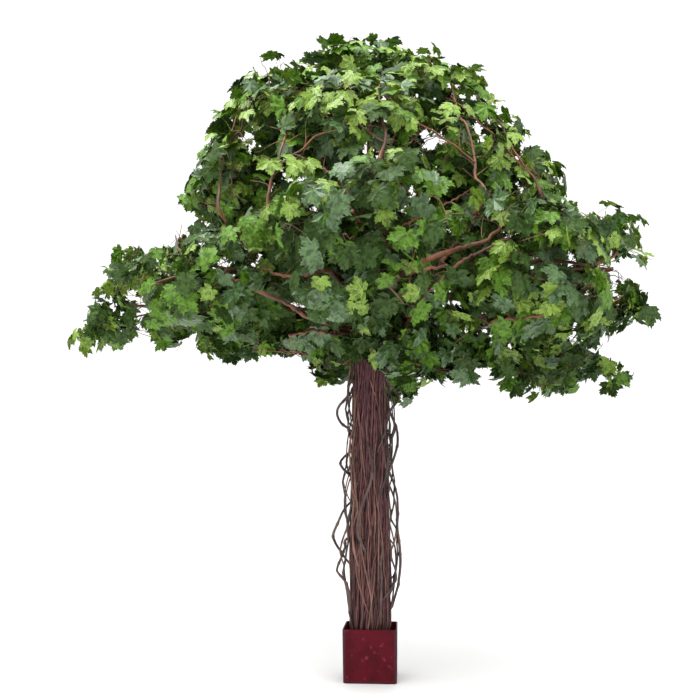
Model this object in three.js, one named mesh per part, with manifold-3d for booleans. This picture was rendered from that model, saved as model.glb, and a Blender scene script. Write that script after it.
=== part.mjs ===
// An artificial maple tree standing in a small square pot.
//
// A straight trunk, bundled from vine stems, is set in the pot's cement. Boughs fan out from its head
// and carry a domed crown of separate foliage masses, and a few loose vines bow out from the bundle.
// Units are millimetres, +Z is up, and the origin lies under the middle of the pot.

import * as THREE from 'three';
import { mergeVertices } from 'three/addons/utils/BufferGeometryUtils.js';
import Module from 'manifold-3d';

const wasm = await Module();
wasm.setup();

// ---- Driving dimensions ----

const GAP = 0.3; // clearance left between pieces that touch

const POT = { mouthWidth: 250, footWidth: 243, height: 231, wall: 6, floor: 8, cornerRadius: 16 };
const CEMENT = { top: 192, cornerRadius: 9 };

const TRUNK = {
  stubRadius: 78, // plain stub set in the cement
  footRadius: 101, // bundle of stems where it leaves the cement
  waistRadius: 97,
  neckRadius: 92,
  headRadius: 64,
  waistHeight: 900,
  neckHeight: 1560,
  headHeight: 1960,
  capRadius: 35, // the head closes over in a low cap
  capHeight: 1984,
  tipHeight: 1990,
  lobes: 11, // stems that stand out round the bundle
  lobeDepth: 4.5,
  lobeTwist: 1.6, // how far the stems wind round from foot to head, in radians
};

// Loose vines. angle is where one lies round the trunk, 0 at +X and 90 at +Y; foot and head are the
// heights where it enters the bundle; bow is how far it stands off, with wave added in a number of waves;
// drift is how far it sways round the trunk, in degrees.
const VINE = { radius: 5, sides: 6, facet: 42, extraFacets: 4, points: 11, tuck: 14, fullness: 0.7 };
const VINES = [
  { angle: 178, foot: 1145, head: 1335, bow: 62, waves: 0, wave: 0, drift: 8 },
  { angle: 184, foot: 925, head: 1050, bow: 46, waves: 0, wave: 0, drift: -10 },
  { angle: 176, foot: 500, head: 800, bow: 78, waves: 1, wave: -12, drift: 12 },
  { angle: 196, foot: 270, head: 640, bow: 46, waves: 1, wave: 10, drift: -22 },
  { angle: 350, foot: 920, head: 1310, bow: 36, waves: 1, wave: -10, drift: 12 },
  { angle: 2, foot: 285, head: 960, bow: 50, waves: 2, wave: 16, drift: -10 },
  { angle: 344, foot: 1165, head: 1400, bow: 50, waves: 0, wave: 0, drift: 16 },
  { angle: 84, foot: 380, head: 1010, bow: 52, waves: 2, wave: 14, drift: 12 },
  { angle: 116, foot: 860, head: 1280, bow: 44, waves: 1, wave: 10, drift: -14 },
  { angle: 262, foot: 560, head: 1080, bow: 34, waves: 1.5, wave: 10, drift: 18 },
];

// Tiers of the crown, each a ring of foliage masses with one bough apiece, the first at the angle turn.
// ring and height place the middle of a mass; out, along, up and down are its half sizes; droop tips its
// outer side down, in degrees; keepOff is the space left round the trunk's axis. boughHeight is where the
// boughs leave the trunk, every second one higher by twice boughStagger, and boughRise how far they arch.
const TIERS = [
  {
    name: 'low', count: 8, turn: 0, ring: 980, height: 1790, out: 410, along: 410, up: 280, down: 300,
    keepOff: 480, droop: 8, boughHeight: 1700, boughStagger: 46, boughRise: 160, boughRadius: 25, tipRadius: 12,
  },
  {
    name: 'middle', count: 6, turn: 30, ring: 600, height: 2290, out: 370, along: 400, up: 330, down: 280,
    keepOff: 150, droop: 0, boughHeight: 1820, boughStagger: 24, boughRise: 60, boughRadius: 21, tipRadius: 11,
  },
  {
    name: 'high', count: 4, turn: 50, ring: 330, height: 2740, out: 350, along: 340, up: 270, down: 260,
    keepOff: 45, droop: 0, boughHeight: 1900, boughStagger: 10, boughRise: 60, boughRadius: 18, tipRadius: 10,
  },
  {
    name: 'inner', count: 4, turn: 20, ring: 420, height: 1570, out: 250, along: 300, up: 110, down: 150,
    keepOff: 145, droop: 0, boughHeight: 1550, boughStagger: 16, boughRise: 15, boughRadius: 12, tipRadius: 8,
  },
];

// Masses that differ from their ring. The longest boughs reach out to the right and to the left,
// the right and the back hang lowest, and the two front corners lie flatter. An angle given here turns
// a mass away from its even place in the ring.
const SPECIALS = {
  low_1: { angle: -8, ring: 1010, height: 1850, out: 370, along: 360, up: 390, down: 330, droop: -18 },
  low_2: { angle: 26, ring: 1110, out: 370, along: 450, height: 1690, up: 260, down: 340 },
  low_3: { ring: 920, out: 370, height: 1760, down: 370 },
  low_4: { ring: 990, out: 430, up: 400, down: 170 },
  low_5: { ring: 1065, height: 1750, out: 405, along: 440, up: 290, down: 135, droop: 20 },
  low_6: { ring: 930, height: 1700, up: 200, down: 240 },
  low_7: { ring: 940, out: 420, height: 1800, down: 390 },
  low_8: { ring: 910, height: 1740, up: 320 },
  middle_1: { ring: 775, out: 450, up: 400 },
  middle_4: { ring: 605, height: 2240, up: 400 },
  high_3: { ring: 480, height: 2590, out: 470 },
  high_4: { ring: 375, height: 2690, out: 370 },
  inner_1: { down: 205 },
  inner_3: { down: 115 },
  inner_4: { down: 245 },
};

// The mass at the very top, carried by the leader, a stem that runs on from the trunk's head
const TOP = { name: 'top', angle: 0, height: 3030, out: 335, along: 310, up: 190, down: 190, droop: 0 };
const LEADER = { radius: 24, tipRadius: 12, setDepth: 40, bendX: 16, bendY: -10 };

const VARIATION = { size: 0.04, height: 0.014, seed: 700 }; // how far masses stray from their tier
const LUMPS = { waves: 5, coarseness: 11, depth: 0.052, seed: 7, seedStep: 31 }; // unevenness of a mass
const BOUGH = { sides: 7, facets: 6, startShare: 0.55, bendShare: 0.45, bendTurn: 3 };
const MASS_DETAIL = 2; // subdivisions of the twenty-sided ball that a mass starts from
const CORNER_FACETS = 4;

const FINISHES = {
  pot: { color: 0x5c1820, roughness: 0.42, metalness: 0 },
  cement: { color: 0x3b2a26, roughness: 0.95, metalness: 0 },
  stems: { color: 0x5a3a36, roughness: 0.85, metalness: 0 },
  vines: { color: 0x8a6456, roughness: 0.85, metalness: 0 },
  boughs: { color: 0x7a3f2a, roughness: 0.8, metalness: 0 },
  foliage: { color: 0x4c7a2a, roughness: 0.6, metalness: 0 },
};

const UP = new THREE.Vector3(0, 0, 1);
const SIDEWAYS = new THREE.Vector3(0, 1, 0);

// ---- Solids and meshes ----

/** Turn a closed three.js geometry into a manifold solid. */
function solid(geometry) {
  const shape = geometry.clone();
  shape.deleteAttribute('normal');
  shape.deleteAttribute('uv');
  const merged = mergeVertices(shape, 1e-4);
  return new wasm.Manifold(new wasm.Mesh({
    numProp: 3,
    vertProperties: new Float32Array(merged.attributes.position.array),
    triVerts: new Uint32Array(merged.index.array),
  }));
}

/** Turn a manifold solid into a named mesh with its own material. */
function piece(name, shape, finish) {
  const { vertProperties, triVerts } = shape.getMesh();
  const geometry = new THREE.BufferGeometry();
  geometry.setAttribute('position', new THREE.BufferAttribute(new Float32Array(vertProperties), 3));
  geometry.setIndex(new THREE.BufferAttribute(new Uint32Array(triVerts), 1));
  geometry.computeVertexNormals();
  const mesh = new THREE.Mesh(geometry, new THREE.MeshStandardMaterial(finish));
  mesh.name = name;
  return mesh;
}

/** Move every vertex of a geometry by a function that changes its place. */
function reshape(geometry, move) {
  const position = geometry.attributes.position;
  const point = new THREE.Vector3();
  for (let i = 0; i < position.count; i += 1) {
    point.fromBufferAttribute(position, i);
    move(point);
    position.setXYZ(i, point.x, point.y, point.z);
  }
  return geometry;
}

/** A repeatable source of numbers from 0 to 1, by the mulberry32 rule. */
function dice(seed) {
  let state = seed >>> 0;
  return () => {
    state = (state + 0x6d2b79f5) >>> 0;
    let value = Math.imul(state ^ (state >>> 15), 1 | state);
    value = (value + Math.imul(value ^ (value >>> 7), 61 | value)) ^ value;
    return ((value ^ (value >>> 14)) >>> 0) / 2 ** 32;
  };
}

/** A point at a radius and an angle in degrees round the trunk's axis, and at a height. */
function around(radius, degrees, height) {
  const angle = THREE.MathUtils.degToRad(degrees);
  return new THREE.Vector3(radius * Math.cos(angle), radius * Math.sin(angle), height);
}

// ---- Pot and cement ----

/** A square with rounded corners, about the origin. */
function roundedSquare(width, cornerRadius) {
  const centre = width / 2 - cornerRadius;
  const shape = new THREE.Shape();
  const quarter = Math.PI / 2;
  shape.absarc(centre, centre, cornerRadius, 0, quarter);
  shape.absarc(-centre, centre, cornerRadius, quarter, 2 * quarter);
  shape.absarc(-centre, -centre, cornerRadius, 2 * quarter, 3 * quarter);
  shape.absarc(centre, -centre, cornerRadius, 3 * quarter, 4 * quarter);
  shape.closePath();
  return shape;
}

/** Width of the pot's outside at a height. */
function potWidth(height) {
  return THREE.MathUtils.lerp(POT.footWidth, POT.mouthWidth, height / POT.height);
}

/** A rounded square block between two heights, which follows the pot's taper less an inset. */
function taperedBlock(bottom, top, inset, cornerRadius) {
  const shape = roundedSquare(1, cornerRadius / potWidth(top));
  const options = { depth: top - bottom, bevelEnabled: false, curveSegments: CORNER_FACETS };
  const block = reshape(new THREE.ExtrudeGeometry(shape, options), (point) => {
    point.z += bottom;
    point.x *= potWidth(point.z) - 2 * inset;
    point.y *= potWidth(point.z) - 2 * inset;
  });
  return solid(block);
}

/** The pot, open at the top. */
function makePot() {
  const outside = taperedBlock(0, POT.height, 0, POT.cornerRadius);
  const inside = taperedBlock(POT.floor, POT.height + 1, POT.wall, POT.cornerRadius - POT.wall);
  return piece('pot', outside.subtract(inside), FINISHES.pot);
}

/** The cement cast round the trunk's stub, a little below the pot's rim. */
function makeCement(trunkCutter) {
  const block = taperedBlock(POT.floor + GAP, CEMENT.top, POT.wall + GAP, CEMENT.cornerRadius);
  return piece('pot_cement', block.subtract(trunkCutter), FINISHES.cement);
}

// ---- Trunk ----

// Radius and height of the bundle from the cement up to its head
const TRUNK_PROFILE = [
  [TRUNK.footRadius, CEMENT.top + GAP],
  [(TRUNK.footRadius + TRUNK.waistRadius) / 2, (CEMENT.top + TRUNK.waistHeight) / 2],
  [TRUNK.waistRadius, TRUNK.waistHeight],
  [(TRUNK.waistRadius + TRUNK.neckRadius) / 2, (TRUNK.waistHeight + TRUNK.neckHeight) / 2],
  [TRUNK.neckRadius, TRUNK.neckHeight],
  [(2 * TRUNK.neckRadius + TRUNK.headRadius) / 3, (TRUNK.neckHeight + TRUNK.headHeight) / 2],
  [TRUNK.headRadius, TRUNK.headHeight],
];

/** Mean radius of the bundle at a height. */
function trunkRadiusAt(height) {
  for (let i = 1; i < TRUNK_PROFILE.length; i += 1) {
    const [lowRadius, low] = TRUNK_PROFILE[i - 1];
    const [highRadius, high] = TRUNK_PROFILE[i];
    if (height <= high) return THREE.MathUtils.mapLinear(height, low, high, lowRadius, highRadius);
  }
  return TRUNK.headRadius;
}

/** The lobed, winding bundle of stems on its plain stub, grown by a clearance. */
function trunkSolid(growth = 0) {
  const stubFoot = POT.floor + GAP - growth;
  const profile = [
    [0, stubFoot],
    [TRUNK.stubRadius, stubFoot],
    [TRUNK.stubRadius, CEMENT.top + GAP],
    ...TRUNK_PROFILE,
    [TRUNK.capRadius, TRUNK.capHeight + growth],
    [0, TRUNK.tipHeight + growth],
  ];
  const points = profile.map(([radius, height]) => new THREE.Vector2(radius && radius + growth, height));
  const body = new THREE.LatheGeometry(points, TRUNK.lobes * 2);
  body.rotateX(Math.PI / 2);
  reshape(body, (point) => {
    const radius = Math.hypot(point.x, point.y);
    const rise = Math.max(0, point.z - CEMENT.top - 2 * GAP);
    const onStub = radius < TRUNK.stubRadius + 1 && rise === 0;
    const depth = onStub || point.z > TRUNK.headHeight + 1 ? 0 : TRUNK.lobeDepth;
    const angle = Math.atan2(point.y, point.x);
    const turned = angle + (TRUNK.lobeTwist * rise) / TRUNK.headHeight;
    const lobed = radius + depth * Math.cos(TRUNK.lobes * angle);
    point.x = lobed * Math.cos(turned);
    point.y = lobed * Math.sin(turned);
  });
  return solid(body);
}

// ---- Limbs ----

/** A round limb that tapers along a curve: a closed cylinder bent onto the curve. */
function limb(curve, startRadius, endRadius, sides, facets) {
  const frames = curve.computeFrenetFrames(facets, false);
  const body = new THREE.CylinderGeometry(endRadius, startRadius, 1, sides, facets);
  reshape(body, (point) => {
    const step = Math.round((point.y + 0.5) * facets);
    const place = curve.getPointAt(step / facets);
    place.addScaledVector(frames.normals[step], point.z);
    place.addScaledVector(frames.binormals[step], point.x);
    point.copy(place);
  });
  return solid(body);
}

/** A loose vine: it leaves the bundle, bows out in easy waves, and comes back in lower down. */
function makeVine(vine, index, trunkCutter) {
  const points = [];
  for (let i = 0; i < VINE.points; i += 1) {
    const share = i / (VINE.points - 1);
    const height = THREE.MathUtils.lerp(vine.head, vine.foot, share);
    const swell = Math.sin(Math.PI * share) ** VINE.fullness;
    const wave = vine.wave * Math.sin(2 * Math.PI * vine.waves * share);
    const standOff = (vine.bow + wave) * swell - VINE.tuck * (1 - swell);
    const sway = vine.drift * Math.sin(2 * Math.PI * share);
    points.push(around(trunkRadiusAt(height) + standOff, vine.angle + sway, height));
  }
  const facets = Math.round((vine.head - vine.foot) / VINE.facet) + VINE.extraFacets;
  const body = limb(new THREE.CatmullRomCurve3(points), VINE.radius, VINE.radius, VINE.sides, facets);
  return piece(`loose_vine_${index + 1}`, body.subtract(trunkCutter), FINISHES.vines);
}

// ---- Crown ----

/** A few soft waves over all directions, which make a mass uneven. */
function makeLumps(roll) {
  return Array.from({ length: LUMPS.waves }, () => ({
    push: new THREE.Vector3(roll() - 0.5, roll() - 0.5, roll() - 0.5).multiplyScalar(LUMPS.coarseness),
    phase: roll() * 2 * Math.PI,
  }));
}

/** List the foliage masses: those of the tiers, then the one at the top. */
function listMasses() {
  const masses = [];
  TIERS.forEach((tier, tierIndex) => {
    const roll = dice(VARIATION.seed + tierIndex);
    const vary = (spread) => 1 + spread * (2 * roll() - 1);
    for (let index = 0; index < tier.count; index += 1) {
      const name = `${tier.name}_${index + 1}`;
      masses.push({
        ...tier,
        name,
        index,
        angle: tier.turn + (360 * index) / tier.count,
        ring: tier.ring * vary(VARIATION.size),
        height: tier.height * vary(VARIATION.height),
        out: tier.out * vary(VARIATION.size),
        along: tier.along * vary(VARIATION.size),
        up: tier.up * vary(VARIATION.size),
        down: tier.down * vary(VARIATION.size),
        ...SPECIALS[name],
      });
    }
  });
  masses.push({ ...TOP, ring: 0 });
  masses.forEach((mass, i) => {
    mass.centre = around(mass.ring, mass.angle, mass.height);
    mass.lumps = makeLumps(dice(LUMPS.seed + LUMPS.seedStep * i));
  });
  return masses;
}

/** Distance from a mass's middle to its plain oval skin in a direction. */
function ovalRadius(mass, direction) {
  const local = direction.clone();
  local.applyAxisAngle(UP, -THREE.MathUtils.degToRad(mass.angle));
  local.applyAxisAngle(SIDEWAYS, -THREE.MathUtils.degToRad(mass.droop));
  const vertical = local.z > 0 ? mass.up : mass.down;
  return 1 / Math.hypot(local.x / mass.out, local.y / mass.along, local.z / vertical);
}

/** The flat bounds that keep a mass clear of its neighbours and of the tree's axis. */
function massBounds(mass, masses) {
  const bounds = [];
  masses.filter((other) => other !== mass).forEach((other) => {
    const normal = other.centre.clone().sub(mass.centre);
    const distance = normal.length();
    normal.normalize();
    const own = ovalRadius(mass, normal);
    const theirs = ovalRadius(other, normal.clone().negate());
    bounds.push({ normal, reach: (distance * own) / (own + theirs) - GAP / 2 });
  });
  if (mass.keepOff) bounds.push({ normal: around(-1, mass.angle, 0), reach: mass.ring - mass.keepOff });
  return bounds;
}

/** One uneven mass of foliage, grown by a clearance. */
function massSolid(mass, bounds, growth = 0) {
  const body = reshape(new THREE.IcosahedronGeometry(1, MASS_DETAIL), (point) => {
    const direction = point.clone().normalize();
    const lump = mass.lumps.reduce((sum, { push, phase }) => sum + Math.sin(push.dot(direction) + phase), 0);
    let radius = ovalRadius(mass, direction) * (1 + LUMPS.depth * lump);
    bounds.forEach(({ normal, reach }) => {
      const facing = normal.dot(direction);
      if (facing > 0) radius = Math.min(radius, reach / facing);
    });
    point.copy(direction).multiplyScalar(radius + growth).add(mass.centre);
  });
  return solid(body);
}

/** The bough that carries a mass: it springs from the trunk, arches, and ends in the mass's middle. */
function boughSolid(mass) {
  const height = mass.boughHeight + (mass.index % 2 ? mass.boughStagger : -mass.boughStagger);
  const bendHeight = (height + mass.height) / 2 + mass.boughRise;
  const curve = new THREE.QuadraticBezierCurve3(
    around(trunkRadiusAt(height) * BOUGH.startShare, mass.angle, height),
    around(mass.ring * BOUGH.bendShare, mass.angle + BOUGH.bendTurn, bendHeight),
    mass.centre,
  );
  return limb(curve, mass.boughRadius, mass.tipRadius, BOUGH.sides, BOUGH.facets);
}

/** The leader: it runs on from the trunk's head into the mass at the top. */
function leaderSolid(mass) {
  const curve = new THREE.QuadraticBezierCurve3(
    new THREE.Vector3(0, 0, TRUNK.headHeight - LEADER.setDepth),
    new THREE.Vector3(LEADER.bendX, LEADER.bendY, (TRUNK.headHeight + mass.height) / 2),
    mass.centre,
  );
  return limb(curve, LEADER.radius, LEADER.tipRadius, BOUGH.sides, BOUGH.facets);
}

/** A foliage mass with the limb that carries it, cut off where it leaves the trunk and enters the mass. */
function makeBranch(mass, masses, trunkCutter) {
  const bounds = massBounds(mass, masses);
  const isTop = mass.name === TOP.name;
  const whole = isTop ? leaderSolid(mass) : boughSolid(mass);
  const cut = whole.subtract(trunkCutter).subtract(massSolid(mass, bounds, 2 * GAP));
  return [
    piece(`foliage_${mass.name}`, massSolid(mass, bounds), FINISHES.foliage),
    piece(isTop ? 'leader' : `bough_${mass.name}`, cut, FINISHES.boughs),
  ];
}

// ---- The tree ----

const tree = new THREE.Group();
const trunkCutter = trunkSolid(GAP);
const masses = listMasses();

tree.add(makePot(), makeCement(trunkCutter));
tree.add(piece('trunk', trunkSolid(), FINISHES.stems));
VINES.forEach((vine, index) => tree.add(makeVine(vine, index, trunkCutter)));
masses.forEach((mass) => tree.add(...makeBranch(mass, masses, trunkCutter)));

export default tree;
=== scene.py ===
"""Artificial maple tree in a square pot: a column of bundled vine stems, spreading boughs and a domed head of cloth leaves."""

import functools
import math
import bpy
import numpy as np
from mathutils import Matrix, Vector, noise
from mathutils.bvhtree import BVHTree


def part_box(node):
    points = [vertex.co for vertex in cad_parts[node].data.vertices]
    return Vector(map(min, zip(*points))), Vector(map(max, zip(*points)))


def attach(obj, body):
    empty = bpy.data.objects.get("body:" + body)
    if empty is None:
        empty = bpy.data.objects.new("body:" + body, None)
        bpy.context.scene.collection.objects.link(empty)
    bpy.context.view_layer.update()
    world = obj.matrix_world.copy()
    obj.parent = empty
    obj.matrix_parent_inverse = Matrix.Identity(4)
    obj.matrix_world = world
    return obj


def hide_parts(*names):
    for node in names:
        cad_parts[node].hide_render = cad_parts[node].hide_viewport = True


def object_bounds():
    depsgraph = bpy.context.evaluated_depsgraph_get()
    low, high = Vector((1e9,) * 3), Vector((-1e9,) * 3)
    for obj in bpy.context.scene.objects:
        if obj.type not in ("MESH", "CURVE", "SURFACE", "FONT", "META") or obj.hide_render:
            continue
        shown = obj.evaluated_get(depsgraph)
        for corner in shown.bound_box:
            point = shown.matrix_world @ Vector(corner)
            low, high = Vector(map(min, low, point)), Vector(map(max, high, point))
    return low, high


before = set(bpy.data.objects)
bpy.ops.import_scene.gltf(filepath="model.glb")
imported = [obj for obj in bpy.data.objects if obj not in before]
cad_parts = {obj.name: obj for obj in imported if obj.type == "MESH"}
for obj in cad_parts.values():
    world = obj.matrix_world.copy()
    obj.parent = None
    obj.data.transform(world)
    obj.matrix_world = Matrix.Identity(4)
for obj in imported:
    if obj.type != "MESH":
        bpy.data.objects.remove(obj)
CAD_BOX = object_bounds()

bl_info = {
    "name": "Artificial maple tree",
    "version": (1, 0, 0),
    "blender": (4, 5, 0),
    "location": "View3D > Sidebar > Maple",
    "description": "Builds a life-size artificial maple in a square pot round its packed solids",
    "category": "Object",
}

UP = np.array([0.0, 0.0, 1.0])
LIMIT = 185000


# ---------------------------------------------------------------- maths


def unit(v):
    """Vectors of length one."""
    v = np.asarray(v, float)
    return v / np.maximum(np.linalg.norm(v, axis=-1, keepdims=True), 1e-9)


def across(direction):
    """Two unit vectors square to a direction and to each other."""
    direction = unit(direction)
    helper = np.where(
        np.abs(direction[..., 2:3]) < 0.9, UP, np.array([1.0, 0.0, 0.0])
    )
    side = unit(np.cross(direction, helper))
    return side, np.cross(direction, side)


def smooth(x):
    x = np.clip(x, 0.0, 1.0)
    return x * x * (3 - 2 * x)


def waves(random, count, slowest, fastest, size):
    """A smooth wandering function of one number: a few sines of random phase."""
    rates = np.exp(random.uniform(math.log(slowest), math.log(fastest), count))
    phases = random.uniform(0, 2 * math.pi, count)
    sizes = size * random.uniform(0.5, 1.0, count) / math.sqrt(count)

    def wander(t):
        t = np.asarray(t, float)[..., None]
        return (sizes * np.sin(rates * t * 2 * math.pi + phases)).sum(-1)

    return wander


def bezier(a, b, c, count):
    """Points along a curve that leaves a towards b and ends at c."""
    t = np.linspace(0, 1, count)[:, None]
    return (1 - t) ** 2 * a + 2 * t * (1 - t) * b + t**2 * c


def resample(points, step):
    """The same path with even steps, passing through its ends."""
    points = np.asarray(points, float)
    lengths = np.r_[0, np.cumsum(np.linalg.norm(np.diff(points, axis=0), axis=1))]
    count = max(3, int(round(lengths[-1] / step)) + 1)
    even = np.linspace(0, lengths[-1], count)
    return np.stack([np.interp(even, lengths, points[:, k]) for k in range(3)], 1)


def rounded(points, count):
    """A smooth path through the points, by cubic segments."""
    points = np.asarray(points, float)
    ends = np.vstack([2 * points[0] - points[1], points, 2 * points[-1] - points[-2]])
    t = np.linspace(0, len(points) - 1 - 1e-6, count)
    k, f = t.astype(int), (t % 1)[:, None]
    a, b, c, d = ends[k], ends[k + 1], ends[k + 2], ends[k + 3]
    return 0.5 * (
        2 * b
        + (c - a) * f
        + (2 * a - 5 * b + 4 * c - d) * f**2
        + (3 * b - a - 3 * c + d) * f**3
    )


# ---------------------------------------------------------------- meshes


class Pieces:
    """Collects many small parts and joins them into one mesh."""

    def __init__(self):
        self.points, self.quads, self.triangles, self.count = [], [], [], 0

    def add(self, points, quads=None, triangles=None):
        for faces, store in ((quads, self.quads), (triangles, self.triangles)):
            if faces is not None and len(faces):
                store.append(np.asarray(faces, np.int64) + self.count)
        self.points.append(np.asarray(points, float))
        self.count += len(points)

    def tube(self, path, radii, sides, relief=None, turn=0.0):
        """A closed limb round a path. relief is a (stations, sides) factor on its radius."""
        path = np.asarray(path, float)
        radii = np.broadcast_to(np.asarray(radii, float), (len(path),))
        along = unit(np.gradient(path, axis=0))
        side = across(along[0])[0]
        sides_at = np.empty_like(path)
        for i, direction in enumerate(along):
            side = unit(side - direction * (side @ direction))
            sides_at[i] = side
        others = np.cross(along, sides_at)
        angles = turn + np.linspace(0, 2 * math.pi, sides, endpoint=False)
        reach = radii[:, None] * (1.0 if relief is None else relief)
        reach = np.broadcast_to(reach, (len(path), sides))[..., None]
        ring = np.cos(angles)[:, None] * sides_at[:, None] + np.sin(angles)[
            :, None
        ] * (others[:, None])
        points = (path[:, None] + reach * ring).reshape(-1, 3)
        n = len(path)
        i, j = np.meshgrid(np.arange(n - 1), np.arange(sides), indexing="ij")
        k = (j + 1) % sides
        quads = np.stack(
            [i * sides + j, i * sides + k, (i + 1) * sides + k, (i + 1) * sides + j],
            -1,
        )
        edge = np.arange(sides)
        after = (edge + 1) % sides
        foot, tip = n * sides, n * sides + 1
        caps = np.vstack(
            [
                np.stack([after, edge, np.full(sides, foot)], 1),
                np.stack(
                    [
                        (n - 1) * sides + edge,
                        (n - 1) * sides + after,
                        np.full(sides, tip),
                    ],
                    1,
                ),
            ]
        )
        self.add(
            np.vstack([points, path[:1], path[-1:]]), quads.reshape(-1, 4), caps
        )

    def make(self, name, material, shade_smooth=True):
        """The joined mesh as an object in the scene."""
        points = np.vstack(self.points).astype(np.float32)
        quads = np.vstack(self.quads) if self.quads else np.zeros((0, 4), int)
        triangles = (
            np.vstack(self.triangles) if self.triangles else np.zeros((0, 3), int)
        )
        corners = np.r_[quads.ravel(), triangles.ravel()].astype(np.int32)
        starts = np.r_[
            np.arange(len(quads)) * 4, len(quads) * 4 + np.arange(len(triangles)) * 3
        ].astype(np.int32)
        mesh = bpy.data.meshes.new(name)
        mesh.vertices.add(len(points))
        mesh.vertices.foreach_set("co", points.ravel())
        mesh.loops.add(len(corners))
        mesh.loops.foreach_set("vertex_index", corners)
        mesh.polygons.add(len(starts))
        mesh.polygons.foreach_set("loop_start", starts)
        mesh.update(calc_edges=True)
        mesh.validate()
        if shade_smooth:
            mesh.shade_smooth()
        else:
            mesh.shade_flat()
        mesh.materials.append(material)
        made = bpy.data.objects.new(name, mesh)
        bpy.context.scene.collection.objects.link(made)
        return made


def settle(piece, slot, *nodes):
    """Rides a finished piece on the tree's one body and hides the imported nodes it stands for."""
    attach(piece, "root")
    if nodes:
        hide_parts(*nodes)
    return piece


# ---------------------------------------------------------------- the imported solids


def node_mesh(name):
    """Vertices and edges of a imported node, in metres."""
    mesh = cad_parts[name].data
    points = np.empty(len(mesh.vertices) * 3)
    mesh.vertices.foreach_get("co", points)
    edges = np.empty(len(mesh.edges) * 2, np.int32)
    mesh.edges.foreach_get("vertices", edges)
    return points.reshape(-1, 3), edges.reshape(-1, 2)


def nodes_named(*starts):
    return sorted(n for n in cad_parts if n.startswith(starts))


def sections(name, stations, axis=None):
    """Centres and radii of a limb's solid where planes across its axis cut it."""
    points, edges = node_mesh(name)
    if axis is None:
        middle = points.mean(0)
        axis = np.linalg.svd(points - middle, full_matrices=False)[2][0]
        outward = middle * [1, 1, 0] if "leader" not in name else UP
        axis = axis if axis @ outward > 0 else -axis
    height = points @ axis
    low, high = height.min(), height.max()
    centres, radii = [], []
    for station in stations:
        level = low + (high - low) * station
        a, b = height[edges[:, 0]], height[edges[:, 1]]
        cut = (a - level) * (b - level) < 0
        share = ((level - a[cut]) / (b[cut] - a[cut]))[:, None]
        crossing = (
            points[edges[cut, 0]] * (1 - share) + points[edges[cut, 1]] * share
        )
        centre = (crossing.min(0) + crossing.max(0)) / 2
        centres.append(centre)
        radii.append(np.linalg.norm(crossing - centre, axis=1).mean())
    return np.array(centres), np.array(radii)


@functools.lru_cache(maxsize=None)
def solid_tree(name):
    """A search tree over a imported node's faces."""
    return BVHTree.FromObject(
        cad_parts[name], bpy.context.evaluated_depsgraph_get()
    )


@functools.lru_cache(maxsize=1)
def trunk_outline():
    """Heights and mean radii of the trunk's solid."""
    points, _ = node_mesh("trunk")
    low, high = points[:, 2].min(), points[:, 2].max()
    stations = np.linspace(0.01, 0.995, 40)
    centres, radii = sections("trunk", stations, UP)
    return low + (high - low) * stations, radii


def trunk_radius(z):
    """The solid's radius, drawn in a little towards the top, where the stems are tied tighter."""
    heights, radii = trunk_outline()
    return np.interp(z, heights, radii) - 0.007 * smooth((np.asarray(z) - 0.5) / 0.8)


# ---------------------------------------------------------------- shading


class Value:
    """A number socket that Python sums can be written on. Each sum adds a Math node."""

    def __init__(self, shader, socket):
        self.shader, self.socket = shader, socket

    def _sum(self, operation, *others):
        inputs = {i: (o.socket if isinstance(o, Value) else o) for i, o in enumerate(others)}
        node = self.shader.node("ShaderNodeMath", {"operation": operation}, inputs)
        return Value(self.shader, node.outputs[0])

    def __add__(self, other):
        return self._sum("ADD", self, other)

    def __radd__(self, other):
        return self._sum("ADD", other, self)

    def __sub__(self, other):
        return self._sum("SUBTRACT", self, other)

    def __rsub__(self, other):
        return self._sum("SUBTRACT", other, self)

    def __mul__(self, other):
        return self._sum("MULTIPLY", self, other)

    def __rmul__(self, other):
        return self._sum("MULTIPLY", other, self)

    def __truediv__(self, other):
        return self._sum("DIVIDE", self, other)

    def __pow__(self, other):
        return self._sum("POWER", self, other)

    def __abs__(self):
        return self._sum("ABSOLUTE", self, 0.0)

    def least(self, other):
        return self._sum("MINIMUM", self, other)

    def most(self, other):
        return self._sum("MAXIMUM", self, other)

    def ramp(self, low, high):
        """0 below low, 1 above high, even in between."""
        node = self.shader.node(
            "ShaderNodeMapRange",
            {"clamp": True, "interpolation_type": "SMOOTHSTEP"},
            {"Value": self.socket, "From Min": low, "From Max": high},
        )
        return Value(self.shader, node.outputs[0])


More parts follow.
